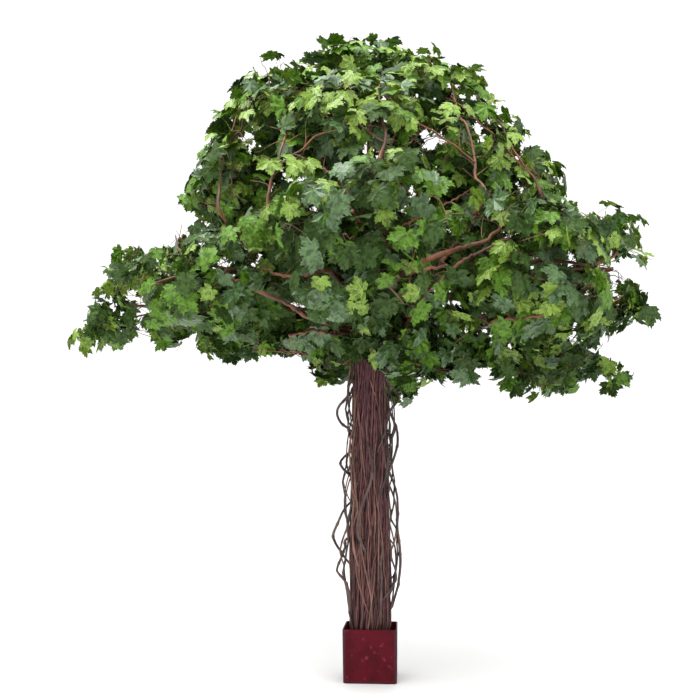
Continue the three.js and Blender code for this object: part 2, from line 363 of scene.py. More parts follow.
class Shader:
    """One material with a Principled surface, and short ways to add to it."""

    def __init__(self, name, **constants):
        self.material = bpy.data.materials.new(name)
        self.material.use_nodes = True
        self.tree = self.material.node_tree
        self.tree.nodes.clear()
        self.surface = self.node("ShaderNodeBsdfPrincipled", {}, constants)
        self.node("ShaderNodeOutputMaterial", {}, {"Surface": self.surface.outputs[0]})
        self.place = self.node("ShaderNodeTexCoord").outputs["Object"]

    def node(self, kind, settings=None, inputs=None):
        """Adds a node, its settings first, then its sockets' values or links."""
        node = self.tree.nodes.new(kind)
        for key, setting in (settings or {}).items():
            if key == "stops":
                stops = node.color_ramp.elements
                while len(stops) < len(setting):
                    stops.new(1.0)
                for stop, (position, colour) in zip(stops, setting):
                    stop.position, stop.color = position, (*colour, 1.0)
            else:
                setattr(node, key, setting)
        for key, source in (inputs or {}).items():
            if isinstance(key, int):
                socket = node.inputs[key]
            else:
                socket = next(
                    s for s in node.inputs if key in (s.identifier, s.name)
                )
            source = source.socket if isinstance(source, Value) else source
            if isinstance(source, bpy.types.NodeSocket):
                self.tree.links.new(source, socket)
            elif isinstance(source, (tuple, list)) and len(source) == 3:
                four = socket.type == "RGBA"
                socket.default_value = (*source, 1.0) if four else source
            else:
                socket.default_value = source
        return node

    def mix(self, factor, first, second):
        """A colour between two colours."""
        node = self.node(
            "ShaderNodeMix",
            {"data_type": "RGBA", "clamp_factor": True},
            {"Factor_Float": factor, "A_Color": first, "B_Color": second},
        )
        return next(s for s in node.outputs if s.identifier == "Result_Color")

    def stretched(self, scale):
        """The place on the object, scaled along each axis."""
        return self.node(
            "ShaderNodeVectorMath", {"operation": "MULTIPLY"}, {0: self.place, 1: scale}
        ).outputs[0]

    def noise(self, scale, detail=3.0, roughness=0.55, at=None):
        node = self.node(
            "ShaderNodeTexNoise",
            {},
            {
                "Vector": self.place if at is None else at,
                "Scale": scale,
                "Detail": detail,
                "Roughness": roughness,
            },
        )
        return Value(self, node.outputs[0])

    def axis(self, letter):
        node = self.node("ShaderNodeSeparateXYZ", {}, {0: self.place})
        return Value(self, node.outputs["XYZ".index(letter)])

    def bump(self, height, strength, distance):
        node = self.node(
            "ShaderNodeBump",
            {},
            {"Strength": strength, "Distance": distance, "Height": height},
        )
        self.wear("Normal", node.outputs[0])

    def wear(self, socket, source):
        """Feeds one socket of the surface."""
        source = source.socket if isinstance(source, Value) else source
        self.tree.links.new(source, self.surface.inputs[socket])


def linear(code):
    """A colour from its hex code, as the renderer wants it."""
    parts = [int(code[i : i + 2], 16) / 255 for i in (0, 2, 4)]
    return tuple(
        c / 12.92 if c <= 0.04045 else ((c + 0.055) / 1.055) ** 2.4 for c in parts
    )


def shown(colour):
    """The plain numbers of a colour property."""
    return tuple(colour)[:3]


def stem_material(name, dark, light, foot_tint):
    """Dry vine bark: fine streaks along the stem, browner towards the foot."""
    s = Shader(name, Roughness=0.75)
    streak = s.noise(1.0, 4, 0.6, s.stretched((190, 190, 26)))
    blotch = s.noise(14, 2)
    colour = s.mix(streak.ramp(0.36, 0.64), dark, light)
    low = 1 - s.axis("Z").ramp(0.35, 1.45)
    colour = s.mix((low * 0.55) * blotch.ramp(0.25, 0.6), colour, foot_tint)
    s.wear("Base Color", colour)
    s.wear("Roughness", 0.62 + streak * 0.25)
    s.bump(streak, 0.5, 0.0015)
    return s.material


def bough_material(name, dark, light, bloom):
    """Smooth natural bark: red brown, worn to orange in places, with a grey bloom."""
    s = Shader(name, Roughness=0.6)
    grain = s.noise(38, 4, 0.6)
    patch = s.noise(9, 3)
    speck = s.noise(160, 2)
    colour = s.mix(patch.ramp(0.35, 0.68), dark, light)
    colour = s.mix(grain.ramp(0.45, 0.8) * 0.35, colour, bloom)
    s.wear("Base Color", colour)
    s.wear("Roughness", 0.5 + grain * 0.25)
    s.bump(grain * 0.7 + speck * 0.3, 0.4, 0.002)
    return s.material


def leaf_material(name, base, tone, roughness, shine):
    """Cloth leaf: one base colour, printed darker in blotches, with a fine weave."""
    s = Shader(name, Roughness=roughness, **{"Specular IOR Level": shine})
    drift, blotch, mark = s.noise(7, 2), s.noise(60, 2, 0.6), s.noise(110, 1)
    colour = s.mix(drift.ramp(0.35, 0.65) * 0.5, base, tone)
    colour = s.mix(mark.ramp(0.52, 0.7) * 0.5, colour, tuple(c * 1.5 for c in base))
    s.wear("Base Color", s.mix(blotch.ramp(0.45, 0.62), colour, tuple(c * 0.6 for c in tone)))
    s.bump(s.noise(900, 1), 0.15, 0.0004)
    return s.material


# ---------------------------------------------------------------- settings


class MapleTrunkSettings(bpy.types.PropertyGroup):
    """The column of bundled stems and its loose vines."""

    stems: bpy.props.IntProperty(
        name="Stems", description="Stems round the outside of the column", default=104, min=20, max=160
    )
    stem_radius: bpy.props.FloatProperty(
        name="Stem radius", description="Middle radius of a stem", default=0.0042, unit="LENGTH", subtype="DISTANCE"
    )
    fibres: bpy.props.IntProperty(
        name="Fibres", description="Fine fibres that net the stems together", default=150, min=0, max=400
    )
    crossing: bpy.props.IntProperty(
        name="Crossing stems", description="Thin stems that wander over the column", default=30, min=0, max=80
    )
    strands: bpy.props.IntProperty(
        name="Side strands", description="Thin strands that stand a little off the column", default=34, min=0, max=60
    )
    seed: bpy.props.IntProperty(name="Seed", description="Start of the random draws", default=11)
    dark: bpy.props.FloatVectorProperty(
        name="Dark bark", description="Shaded side of the stems", subtype="COLOR", size=3, default=linear("381c21")
    )
    light: bpy.props.FloatVectorProperty(
        name="Light bark", description="Lit ridges of the stems", subtype="COLOR", size=3, default=linear("6c3f44")
    )
    foot: bpy.props.FloatVectorProperty(
        name="Foot bark", description="Browner bark towards the pot", subtype="COLOR", size=3, default=linear("4d3125")
    )
    tan: bpy.props.FloatVectorProperty(
        name="Peeled vine", description="Lighter vines that cross the column", subtype="COLOR", size=3, default=linear("7e574a")
    )


class MapleCrownSettings(bpy.types.PropertyGroup):
    """Boughs, twigs and leaves."""

    spacing: bpy.props.FloatProperty(
        name="Spray spacing", description="Distance between sprays at the outside", default=0.106, unit="LENGTH", subtype="DISTANCE"
    )
    inner_spacing: bpy.props.FloatProperty(
        name="Inner spacing", description="Distance between sprays inside a mass", default=0.25, unit="LENGTH", subtype="DISTANCE"
    )
    leaf: bpy.props.FloatProperty(
        name="Leaf length", description="From the stalk to the tip of the middle lobe", default=0.077, unit="LENGTH", subtype="DISTANCE"
    )
    leaves: bpy.props.IntProperty(
        name="Leaves in a spray", description="Middle number of leaves in a spray", default=4, min=2, max=9
    )
    seed: bpy.props.IntProperty(name="Seed", description="Start of the random draws", default=4)
    bright: bpy.props.FloatVectorProperty(
        name="Bright leaf", description="Young yellow green leaves", subtype="COLOR", size=3, default=linear("718e31")
    )
    fresh: bpy.props.FloatVectorProperty(
        name="Fresh leaf", description="Middle green leaves", subtype="COLOR", size=3, default=linear("51761d")
    )
    deep: bpy.props.FloatVectorProperty(
        name="Deep leaf", description="Dark green leaves", subtype="COLOR", size=3, default=linear("364e1e")
    )
    blue: bpy.props.FloatVectorProperty(
        name="Blue leaf", description="Grey blue green leaves", subtype="COLOR", size=3, default=linear("4b683b")
    )
    bark: bpy.props.FloatVectorProperty(
        name="Bough bark", description="Red brown bark of the boughs", subtype="COLOR", size=3, default=linear("44261a")
    )
    worn: bpy.props.FloatVectorProperty(
        name="Worn bark", description="Orange brown where the bark is worn", subtype="COLOR", size=3, default=linear("7a4a2c")
    )


class MaplePotSettings(bpy.types.PropertyGroup):
    """The square pot and its cement."""

    corner: bpy.props.FloatProperty(
        name="Corner radius", description="Radius of the upright corners", default=0.016, unit="LENGTH", subtype="DISTANCE"
    )
    wall: bpy.props.FloatProperty(
        name="Wall", description="Thickness of the wall", default=0.006, unit="LENGTH", subtype="DISTANCE"
    )
    lip: bpy.props.FloatProperty(
        name="Rounded lip", description="Radius of the rounding at the rim and foot", default=0.0025, unit="LENGTH", subtype="DISTANCE"
    )
    lacquer: bpy.props.FloatVectorProperty(
        name="Lacquer", description="Dark red lacquer", subtype="COLOR", size=3, default=linear("540c1a")
    )
    scuff: bpy.props.FloatVectorProperty(
        name="Scuffs", description="Paler scuffed patches", subtype="COLOR", size=3, default=linear("79303d")
    )
    # Painted shade: this colour darkens and greys the rounded upright corners where they turn from the light; it also
    # darkens the pot's foot.
    edge: bpy.props.FloatVectorProperty(
        name="Corner tone", description="Painted shade on the rounded corners, also used at the foot", subtype="COLOR", size=3, default=linear("3a2a30")
    )


class MapleStageSettings(bpy.types.PropertyGroup):
    """Floor, lights and camera."""

    floor: bpy.props.FloatVectorProperty(
        name="Floor", description="Plain pale floor", subtype="COLOR", size=3, default=(0.93, 0.93, 0.93)
    )
    key: bpy.props.FloatProperty(name="Key light", description="Power of the large front light", default=620.0, unit="POWER")
    fill: bpy.props.FloatProperty(name="Fill light", description="Power of the light from the other side", default=70.0, unit="POWER")
    sky: bpy.props.FloatProperty(name="Surroundings", description="Strength of the pale surroundings", default=1.16)
    lens: bpy.props.FloatProperty(name="Lens", description="Focal length of the camera", default=38.57, unit="CAMERA")
    location: bpy.props.FloatVectorProperty(
        name="Camera place", description="Where the camera stands", subtype="TRANSLATION", unit="LENGTH", size=3, default=(0.165, -3.708, 0.825)
    )
    tilt: bpy.props.FloatProperty(
        name="Camera tilt", description="Upward tilt of the camera", subtype="ANGLE", unit="ROTATION", default=math.radians(11.06)
    )
    pan: bpy.props.FloatProperty(
        name="Camera pan", description="Turn of the camera to the left", subtype="ANGLE", unit="ROTATION", default=math.radians(4.05)
    )


# ---------------------------------------------------------------- pot


def rounded_square(width, corner, z, steps=8):
    """One loop of points round a square with rounded corners."""
    half = width / 2 - corner
    loop = []
    for k in range(4):
        centre = np.array([(1, 1), (-1, 1), (-1, -1), (1, -1)][k]) * half
        for a in np.linspace(0, math.pi / 2, steps + 1) + k * math.pi / 2:
            loop.append((*(centre + corner * np.array([math.cos(a), math.sin(a)])), z))
    return np.array(loop)


def skin(loops, closed_start=False, closed_end=False):
    """Quads between loops of equal length, with flat ends where asked."""
    pieces = Pieces()
    n = len(loops[0])
    i, j = np.meshgrid(np.arange(len(loops) - 1), np.arange(n), indexing="ij")
    k = (j + 1) % n
    quads = np.stack([i * n + j, i * n + k, (i + 1) * n + k, (i + 1) * n + j], -1)
    points = np.vstack(loops)
    triangles = []
    edge = np.arange(n)
    for wanted, row, flip in ((closed_start, 0, True), (closed_end, len(loops) - 1, False)):
        if wanted:
            middle = len(points)
            points = np.vstack([points, loops[row].mean(0)])
            a, b = row * n + edge, row * n + (edge + 1) % n
            pair = (b, a) if flip else (a, b)
            triangles.append(np.stack([*pair, np.full(n, middle)], 1))
    pieces.add(points, quads.reshape(-1, 4), np.vstack(triangles) if triangles else None)
    return pieces


class MAPLE_OT_pot(bpy.types.Operator):
    """Makes the square lacquered pot"""

    bl_idname = "maple.pot"
    bl_label = "Pot"

    def execute(self, context):
        pot = context.scene.maple_pot
        low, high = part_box("pot")
        foot_width, height = 0.243, high.z
        mouth = high.x - low.x
        lip, wall, corner = pot.lip, pot.wall, pot.corner
        loops = [rounded_square(foot_width - 2 * lip, corner - lip * 0.5, 0.0)]
        for a in (30, 60, 90):
            a = math.radians(a)
            loops.append(
                rounded_square(
                    foot_width - 2 * lip * (1 - math.sin(a)), corner, lip * (1 - math.cos(a))
                )
            )
        random = np.random.default_rng(3)
        swell = waves(random, 3, 0.8, 2.5, 0.0006)
        for share in np.linspace(0.03, 0.985, 24):
            width = foot_width + (mouth - foot_width) * share
            width += float(swell(share)) * math.sin(math.pi * share) - 0.0004
            loops.append(rounded_square(width, corner, height * share))
        for a in np.linspace(0, math.pi, 9):
            inset = (wall / 2) * (1 - math.cos(a))
            loops.append(
                rounded_square(
                    mouth - 2 * inset,
                    corner - inset,
                    height - wall / 2 + (wall / 2) * math.sin(a),
                )
            )
        inside = np.linspace(height - wall / 2 - 0.004, 0.17, 6)
        for z in inside:
            width = foot_width + (mouth - foot_width) * z / height - 2 * wall
            loops.append(rounded_square(width, corner - wall, z))
        s = Shader("lacquer", Roughness=0.5, **{"Specular IOR Level": 0.1})
        cloud = s.noise(13, 4, 0.6)
        mark = s.noise(34, 3, 0.5)
        grit = s.noise(260, 2)
        colour = s.mix(cloud.ramp(0.42, 0.62) * 0.8, shown(pot.lacquer), linear("430911"))
        colour = s.mix(mark.ramp(0.58, 0.74) * 0.7, colour, shown(pot.scuff))
        # Painted shade: the rounded upright corners go most of the way to the corner tone.
        near = abs(s.axis("X")).least(abs(s.axis("Y")))
        colour = s.mix(near.ramp(0.106, 0.119) * 0.75, colour, shown(pot.edge))
        # The lowest 16 mm go halfway to the same colour, darker towards the foot.
        foot = 1 - s.axis("Z").ramp(0.002, 0.016)
        colour = s.mix(foot * 0.5, colour, shown(pot.edge))
        s.wear("Base Color", colour)
        s.wear("Roughness", 0.45 + mark * 0.2)
        s.bump(cloud * 0.6 + grit * 0.4, 0.3, 0.0012)
        made = skin(loops, closed_start=True).make("planter", s.material)
        made.data.set_sharp_from_angle(angle=math.radians(50))
        settle(made, "pot_lacquer", "pot")
        return {"FINISHED"}


class MAPLE_OT_cement(bpy.types.Operator):
    """Makes the rough cement that the column stands in"""

    bl_idname = "maple.cement"
    bl_label = "Cement"

    def execute(self, context):
        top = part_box("pot_cement")[1].z
        wide = 0.2375
        random = np.random.default_rng(5)
        bumps = [
            (waves(random, 4, 6, 26, 0.0022), waves(random, 4, 6, 26, 0.0022))
            for _ in range(3)
        ]
        loops = [
            rounded_square(wide - 0.001, 0.01, top - 0.03),
            rounded_square(wide, 0.01, top - 0.006),
        ]
        for share in np.linspace(1.0, 0.12, 16):
            loop = rounded_square(wide * share, max(0.01 * share, 0.002), top)
            for a, b in bumps:
                loop[:, 2] += a(loop[:, 0] + loop[:, 1] * 0.3) * b(loop[:, 1]) * 240
            loop[:, 2] += 0.004 * (share - 0.5)
            loops.append(loop)
        s = Shader("cement", Roughness=0.95)
        stain, grain = s.noise(30, 3), s.noise(240, 3, 0.7)
        colour = s.mix(stain.ramp(0.35, 0.65), linear("4a1c22"), linear("4f3330"))
        colour = s.mix(grain.ramp(0.55, 0.75) * 0.5, colour, linear("6b5b54"))
        s.wear("Base Color", colour)
        s.bump(grain, 0.8, 0.003)
        made = skin(loops, closed_start=True, closed_end=True).make("cement_fill", s.material)
        settle(made, "cement", "pot_cement")
        return {"FINISHED"}


# ---------------------------------------------------------------- column


def round_column(z, angle, offset):
    """A point beside the column: height, angle and distance from its outline."""
    reach = trunk_radius(z) + offset
    return np.stack([reach * np.cos(angle), reach * np.sin(angle), z], -1)


def knotted(random, length, step, low, high, swell):
    """Radius factor along a stem, thicker at its knots."""
    at = np.arange(0, length + step, step)
    factor = 1 + waves(random, 3, 1.0, 5.0, 0.14)(at)
    place = random.uniform(0, high)
    while place < length:
        factor = factor + random.uniform(0.4, 1.0) * swell * np.exp(
            -(((at - place) / 0.006) ** 2)
        )
        place += random.uniform(low, high)
    return lambda s: np.interp(s, at, factor)


def lengths_along(path):
    return np.r_[0, np.cumsum(np.linalg.norm(np.diff(path, axis=0), axis=1))]


class MAPLE_OT_column(bpy.types.Operator):
    """Bundles the stems of the trunk round their middle, which is painted near black as the shade in the gaps between
    the stems
    """

    bl_idname = "maple.column"
    bl_label = "Bundled column"

    def execute(self, context):
        trunk = context.scene.maple_trunk
        random = np.random.default_rng(trunk.seed)
        low, high = 0.172, float(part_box("trunk")[1].z)
        core = Pieces()
        z = np.linspace(low, high - 0.02, 90)
        relief = np.empty((len(z), 72))
        turns = np.linspace(0, 2 * math.pi, 72, endpoint=False)
        for i, height in enumerate(z):
            twist = turns - 1.6 * height / high
            relief[i] = 1 + 0.022 * np.sin(18 * twist + 3 * math.sin(2.3 * height))
            relief[i] += 0.02 * np.sin(31 * twist + 5 * math.sin(1.7 * height))
        core.tube(
            np.stack([0 * z, 0 * z, z], 1), trunk_radius(z) - 0.0175, 72, relief
        )
        dark, light, foot = shown(trunk.dark), shown(trunk.light), shown(trunk.foot)
        # Painted shade: the middle takes a bark far darker than the stems' own, standing for the shade in the gaps
        # between them.
        settle(
            core.make(
                "column_middle",
                stem_material("column_middle_painted_shade", linear("1d1213"), dark, linear("2a1c18")),
            ),
            "trunk_stems",
            "trunk",
        )
        groups = {
            "stems_dark": (Pieces(), tuple(c * 0.72 for c in dark), tuple(c * 0.62 for c in light), tuple(c * 0.6 for c in foot)),
            "stems_middle": (Pieces(), dark, light, foot),
            "stems_light": (Pieces(), tuple(c * 1.35 for c in dark), tuple(c * 1.4 for c in light), tuple(c * 1.35 for c in foot)),
        }
        names = list(groups)
        for k in range(trunk.stems):
            radius = trunk.stem_radius * random.uniform(0.65, 1.4)
            base = 2 * math.pi * (k + random.uniform(-0.35, 0.35)) / trunk.stems
            top = high - random.uniform(0.0, 0.08) if random.random() > 0.2 else random.uniform(1.5, 1.9)
            z = np.linspace(low, top, 84)
            twist = (1.3 + random.normal(0, 0.4)) * z / high
            drift = waves(random, 4, 0.4, 2.6, 0.26)(z)
            level = random.choice([-0.0115, -0.0075, -0.004]) - radius
            lift = waves(random, 4, 1.0, 5.0, 0.0032)(z)
            path = round_column(z, base + twist + drift, level + lift)
            path, _ = kinked(random, path, 0.11, 0.003, 0.022)
            along = lengths_along(path)
            factor = knotted(random, along[-1], 0.004, 0.09, 0.26, 0.3)(along)
            name = names[random.choice(3, p=[0.34, 0.42, 0.24])]
            groups[name][0].tube(path, radius * factor, 5, turn=random.uniform(0, 6))
        for _ in range(trunk.fibres):
            length = random.uniform(0.12, 0.5)
            z = random.uniform(low, 1.85 - length) + np.linspace(0, length, 26)
            lean = random.normal(0, 1.6) * (z - z[0])
            angle = random.uniform(0, 2 * math.pi) + lean + waves(random, 3, 1.5, 6.0, 0.12)(z)
            path = round_column(z, angle, -0.008 + waves(random, 3, 2.0, 8.0, 0.003)(z))
            name = names[random.choice(3, p=[0.3, 0.45, 0.25])]
            groups[name][0].tube(path, random.uniform(0.0011, 0.0019), 4)
        for name, (pieces, dark_bark, light_bark, foot_bark) in groups.items():
            settle(
                pieces.make(name, stem_material(name + "_bark", dark_bark, light_bark, foot_bark)),
                "trunk_stems",
                "trunk",
            )
        return {"FINISHED"}


def kinked(random, path, gap, size, step=0.008):
    """Bends a path sharply in places, as a dried vine bends at its joints."""
    path = resample(path, step)
    along = lengths_along(path)
    stops = [0.0]
    while stops[-1] < along[-1]:
        stops.append(stops[-1] + random.uniform(gap * 0.5, gap * 1.5))
    moves = random.normal(0, size, (len(stops), 3)) * [1, 1, 0.4]
    moves[0] = moves[-1] = 0
    shift = np.stack([np.interp(along, stops, moves[:, k]) for k in range(3)], 1)
    fade = smooth(along / 0.05) * smooth((along[-1] - along) / 0.05)
    return path + shift * fade[:, None], stops


class MAPLE_OT_vines(bpy.types.Operator):
    """Winds the loose vines and the lighter crossing stems round the column"""

    bl_idname = "maple.vines"
    bl_label = "Vines"

    def execute(self, context):
        trunk = context.scene.maple_trunk
        random = np.random.default_rng(trunk.seed + 1)
        loose, tan = Pieces(), Pieces()
        nodes = nodes_named("loose_vine")
        for name in nodes:
            centres, radii = sections(name, np.linspace(0.02, 0.98, 25), UP)
            centres = np.vstack(
                [
                    centres[0] + (centres[0] - centres[1]) * 0.5,
                    centres,
                    centres[-1] + (centres[-1] - centres[-2]) * 0.5,
                ]
            )
            inward = centres[[0, -1]] * [0.82, 0.82, 1]
            centres = np.vstack([inward[0] - [0, 0, 0.02], centres, inward[1] + [0, 0, 0.02]])
            path, stops = kinked(random, rounded(centres, 160), 0.1, 0.011)
            along = lengths_along(path)
            factor = 1 + waves(random, 3, 1.0, 5.0, 0.1)(along)
            for stop in stops:
                factor = factor + 0.38 * np.exp(-(((along - stop) / 0.006) ** 2))
            loose.tube(path, 0.006 * factor, 8)
        for k in range(trunk.strands):
            side = random.choice([0.0, math.pi]) + random.normal(0, 0.5)
            if k % 4 == 0:
                side = random.uniform(0, 2 * math.pi)
            length = random.uniform(0.22, 0.75)
            foot = random.uniform(0.2, 1.6 - length)
            t = np.linspace(0, 1, 40)
            bow = random.uniform(0.012, 0.046) * np.sin(math.pi * t) ** 0.8
            z = foot + length * t
            angle = side + random.normal(0, 0.25) * (t - 0.5) + waves(random, 2, 0.5, 1.5, 0.12)(t)
            path = round_column(z, angle, bow - 0.012 * (1 - np.sin(math.pi * t)))
            path, stops = kinked(random, path, 0.08, 0.0075)
            along = lengths_along(path)
            factor = 1 + waves(random, 3, 1.0, 6.0, 0.15)(along)
            for stop in stops:
                factor = factor + 0.35 * np.exp(-(((along - stop) / 0.005) ** 2))
            (loose if random.random() < 0.65 else tan).tube(
                path, random.uniform(0.003, 0.0052) * factor, 6
            )
        for k in range(trunk.crossing):
            base = random.uniform(0, 2 * math.pi)
            length = random.uniform(0.3, 1.1)
            foot = random.uniform(0.19, 1.62 - length)
            t = np.linspace(0, 1, 60)
            turn = random.choice([-1, 1]) * random.uniform(0.25, 1.5)
            if k % 3 == 0:
                turn *= 0.3
            z = foot + length * t
            angle = base + turn * t + waves(random, 2, 0.6, 2.0, 0.22)(t)
            ends = 1 - smooth(t / 0.06) * smooth((1 - t) / 0.06)
            lift = -0.0035 + waves(random, 2, 0.8, 2.0, 0.003)(t) - 0.012 * ends
            path, stops = kinked(random, round_column(z, angle, lift), 0.1, 0.0028)
            along = lengths_along(path)
            factor = 1 + waves(random, 3, 1.0, 6.0, 0.12)(along)
            tan.tube(path, random.uniform(0.0024, 0.0042) * factor, 6)
        vine_dark = bough_material("vine_bark", linear("33282b"), linear("5a463f"), linear("7b6a60"))
        vine_tan = bough_material("peeled_vine", tuple(c * 0.55 for c in shown(trunk.tan)), shown(trunk.tan), linear("a58878"))
        settle(loose.make("loose_vines", vine_dark), "vine", *nodes)
        settle(tan.make("crossing_vines", vine_tan), "vine")
        return {"FINISHED"}


# ---------------------------------------------------------------- branching


def bough_path(name):
    """Centreline and radii of a bough, carried back into the column."""
    stations = np.linspace(0.03, 0.97, 9)
    centres, radii = sections(name, stations)
    first = centres[0] + (centres[0] - centres[1]) * 0.35
    last = centres[-1] + (centres[-1] - centres[-2]) * 0.25
    root = first + unit(first - centres[1]) * 0.05
    root = root if name == "leader" else root * [0.6, 0.6, 1]
    path = np.vstack([root, first, centres, last])
    return path, np.r_[radii[0] * 1.15, radii[0] * 1.08, radii, radii[-1]]


class Skeleton:
    """Points that twigs may grow from, with the point that each one grew from."""

    def __init__(self):
        self.points, self.directions, self.parents, self.limits = [], [], [], []
        self.chains = []

    def grow(self, path, parent, limit, chain=True):
        path = np.asarray(path, float)
        along = unit(np.gradient(path, axis=0))
        numbers = []
        for point, direction in zip(path, along):
            self.points.append(point)
            self.directions.append(direction)
            self.parents.append(parent)
            self.limits.append(limit)
            parent = len(self.points) - 1
            numbers.append(parent)
        if chain:
            self.chains.append(numbers)
        return numbers

    def nearest(self, target, skip=0):
        """The point from which a shoot reaches the target with least bending."""
        points, directions = np.array(self.points), np.array(self.directions)
        away = target - points
        distance = np.linalg.norm(away, axis=1)
        ease = (away * directions).sum(1) / np.maximum(distance, 1e-6)
        cost = distance * (1.55 - 0.55 * ease)
        cost[:skip] += 1.0
        return int(np.argmin(cost))

    def shoot(self, random, target, limit, skip=0):
        """A curved shoot from the best point to the target."""
        start = self.nearest(target, skip)
        a, heading = self.points[start], self.directions[start]
        length = float(np.linalg.norm(target - a))
        bend = unit(0.55 * heading + 0.75 * unit(target - a) + 0.22 * UP)
        count = int(np.clip(round(length / 0.055), 3, 9)) + 1
        path = bezier(a, a + bend * length * 0.5, target, count)
        wobble = random.normal(0, 0.035 * length, (count, 3))
        wobble[0] = wobble[-1] = 0
        path = path + wobble * 0.6
        self.grow(path, start, limit)
        return start

    def counts(self):
        """How many shoot tips each point carries."""
        total = np.zeros(len(self.points))
        for chain in self.chains:
            total[chain[-1]] += 1
        for k in range(len(self.points) - 1, -1, -1):
            if self.parents[k] >= 0:
                total[self.parents[k]] += total[k]
        return total


def surface_sites(random, name, spacing):
    """Places spread evenly over a mass, with the surface's outward direction."""
    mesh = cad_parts[name].data
    mesh.calc_loop_triangles()
    points, _ = node_mesh(name)
    corners = np.array([t.vertices for t in mesh.loop_triangles])
    a, b, c = points[corners[:, 0]], points[corners[:, 1]], points[corners[:, 2]]
    normals = np.cross(b - a, c - a)
    areas = np.linalg.norm(normals, axis=1) / 2
    wanted = int(areas.sum() / spacing**2)
    draws = wanted * 14
    pick = random.choice(len(areas), draws, p=areas / areas.sum())
    u, v = random.random((2, draws))
    flip = u + v > 1
    u, v = np.where(flip, 1 - u, u)[:, None], np.where(flip, 1 - v, v)[:, None]
    spots = a[pick] + u * (b - a)[pick] + v * (c - a)[pick]
    kept = []
    for k in range(draws):
        if not kept or np.linalg.norm(spots[kept] - spots[k], axis=1).min() > spacing * 0.8:
            kept.append(k)
    return spots[kept], unit(normals[pick[kept]])


HEART = np.array([0.0, 0.0, 1.95])
TURNS, RISES = 90, 30
RIBS = 3
FACE_LIMBS = 17
UNDERGROWTH = {"low": 15, "inner": 9, "middle": 9}


VIEWPOINT = np.array([0.165, -3.708, 0.825])
# Gaps through the head as they show from the front: both ends (x, z) and half their width.
GAPS = (
    ((-0.54, 1.49), (-0.36, 1.47), 0.045),
    ((-1.52, 1.73), (-1.52, 1.73), 0.03),
    ((1.32, 1.94), (1.22, 1.94), 0.036),
    ((1.17, 1.55), (1.27, 1.48), 0.04),
    ((1.07, 2.34), (1.15, 2.30), 0.04),
    ((0.73, 2.87), (0.73, 2.87), 0.035),
    ((0.83, 2.64), (0.83, 2.64), 0.03),
    ((-0.98, 2.25), (-0.98, 2.25), 0.045),
    ((-0.99, 2.61), (-0.97, 2.68), 0.033),
    ((-1.50, 1.84), (-1.47, 1.94), 0.036),
    ((-1.18, 1.65), (-1.12, 1.55), 0.04),
    ((-1.39, 1.52), (-1.32, 1.52), 0.033),
    ((-0.12, 3.36), (0.09, 3.34), 0.025),
    ((-0.77, 3.13), (-0.77, 3.13), 0.025),
    ((-0.61, 3.16), (-0.53, 3.17), 0.025),
    ((-1.16, 2.18), (-1.07, 2.21), 0.028),
    ((0.98, 2.62), (0.98, 2.62), 0.03),
    ((-1.25, 1.87), (-1.15, 1.76), 0.018),
    ((1.02, 2.00), (1.03, 1.94), 0.022),
    ((1.02, 1.64), (1.01, 1.58), 0.015),
    ((-0.40, 1.79), (-0.34, 1.77), 0.018),
    ((0.35, 2.65), (0.27, 2.73), 0.022),
)
SPECKS = 44
NOTCH = 0.025
FRONT_LIMBS = (
    (0.0105, ((-0.08, -0.12, 1.64), (-0.16, -0.42, 1.59), (-0.24, -0.68, 1.57), (-0.32, -0.82, 1.60), (-0.44, -0.85, 1.64), (-0.54, -0.90, 1.69), (-0.62, -0.92, 1.71))),
    (0.011, ((-0.09, -0.12, 1.61), (-0.16, -0.40, 1.55), (-0.22, -0.60, 1.52), (-0.30, -0.70, 1.48))),
    (0.01, ((-0.09, -0.40, 1.75), (-0.11, -0.90, 1.69), (-0.20, -0.98, 1.65), (-0.31, -0.90, 1.68), (-0.40, -0.80, 1.74))),
    (0.0095, ((0.15, -0.15, 1.58), (0.18, -0.38, 1.58), (0.24, -0.75, 1.59), (0.29, -0.92, 1.62), (0.39, -0.88, 1.72), (0.49, -0.88, 1.77), (0.59, -0.88, 1.82))),
    (0.013, ((0.03, -0.35, 1.69), (0.08, -0.80, 1.64), (0.13, -1.00, 1.62), (0.25, -1.02, 1.65), (0.34, -0.95, 1.69))),
    (0.014, ((0.09, -0.40, 1.75), (0.16, -0.90, 1.67), (0.27, -1.00, 1.70), (0.40, -0.85, 1.79), (0.50, -0.85, 1.82), (0.58, -0.84, 1.90))),
    (0.009, ((0.29, -0.60, 1.78), (0.32, -0.90, 1.72), (0.38, -0.80, 1.82), (0.48, -0.80, 1.95), (0.53, -0.76, 2.02))),
    (0.007, ((0.08, -0.90, 1.83), (0.21, -0.95, 1.87), (0.36, -0.75, 2.02), (0.47, -0.60, 2.14))),
    (0.009, ((0.01, -0.90, 2.02), (0.06, -0.95, 2.10), (0.11, -0.85, 2.21), (0.15, -0.80, 2.31))),
    (0.016, ((-0.01, -0.80, 1.96), (-0.03, -0.95, 1.98), (-0.08, -0.95, 2.04), (-0.14, -0.92, 2.11))),
    (0.008, ((0.51, -0.40, 1.59), (0.56, -0.70, 1.53), (0.69, -0.80, 1.52), (0.78, -0.82, 1.53))),
)
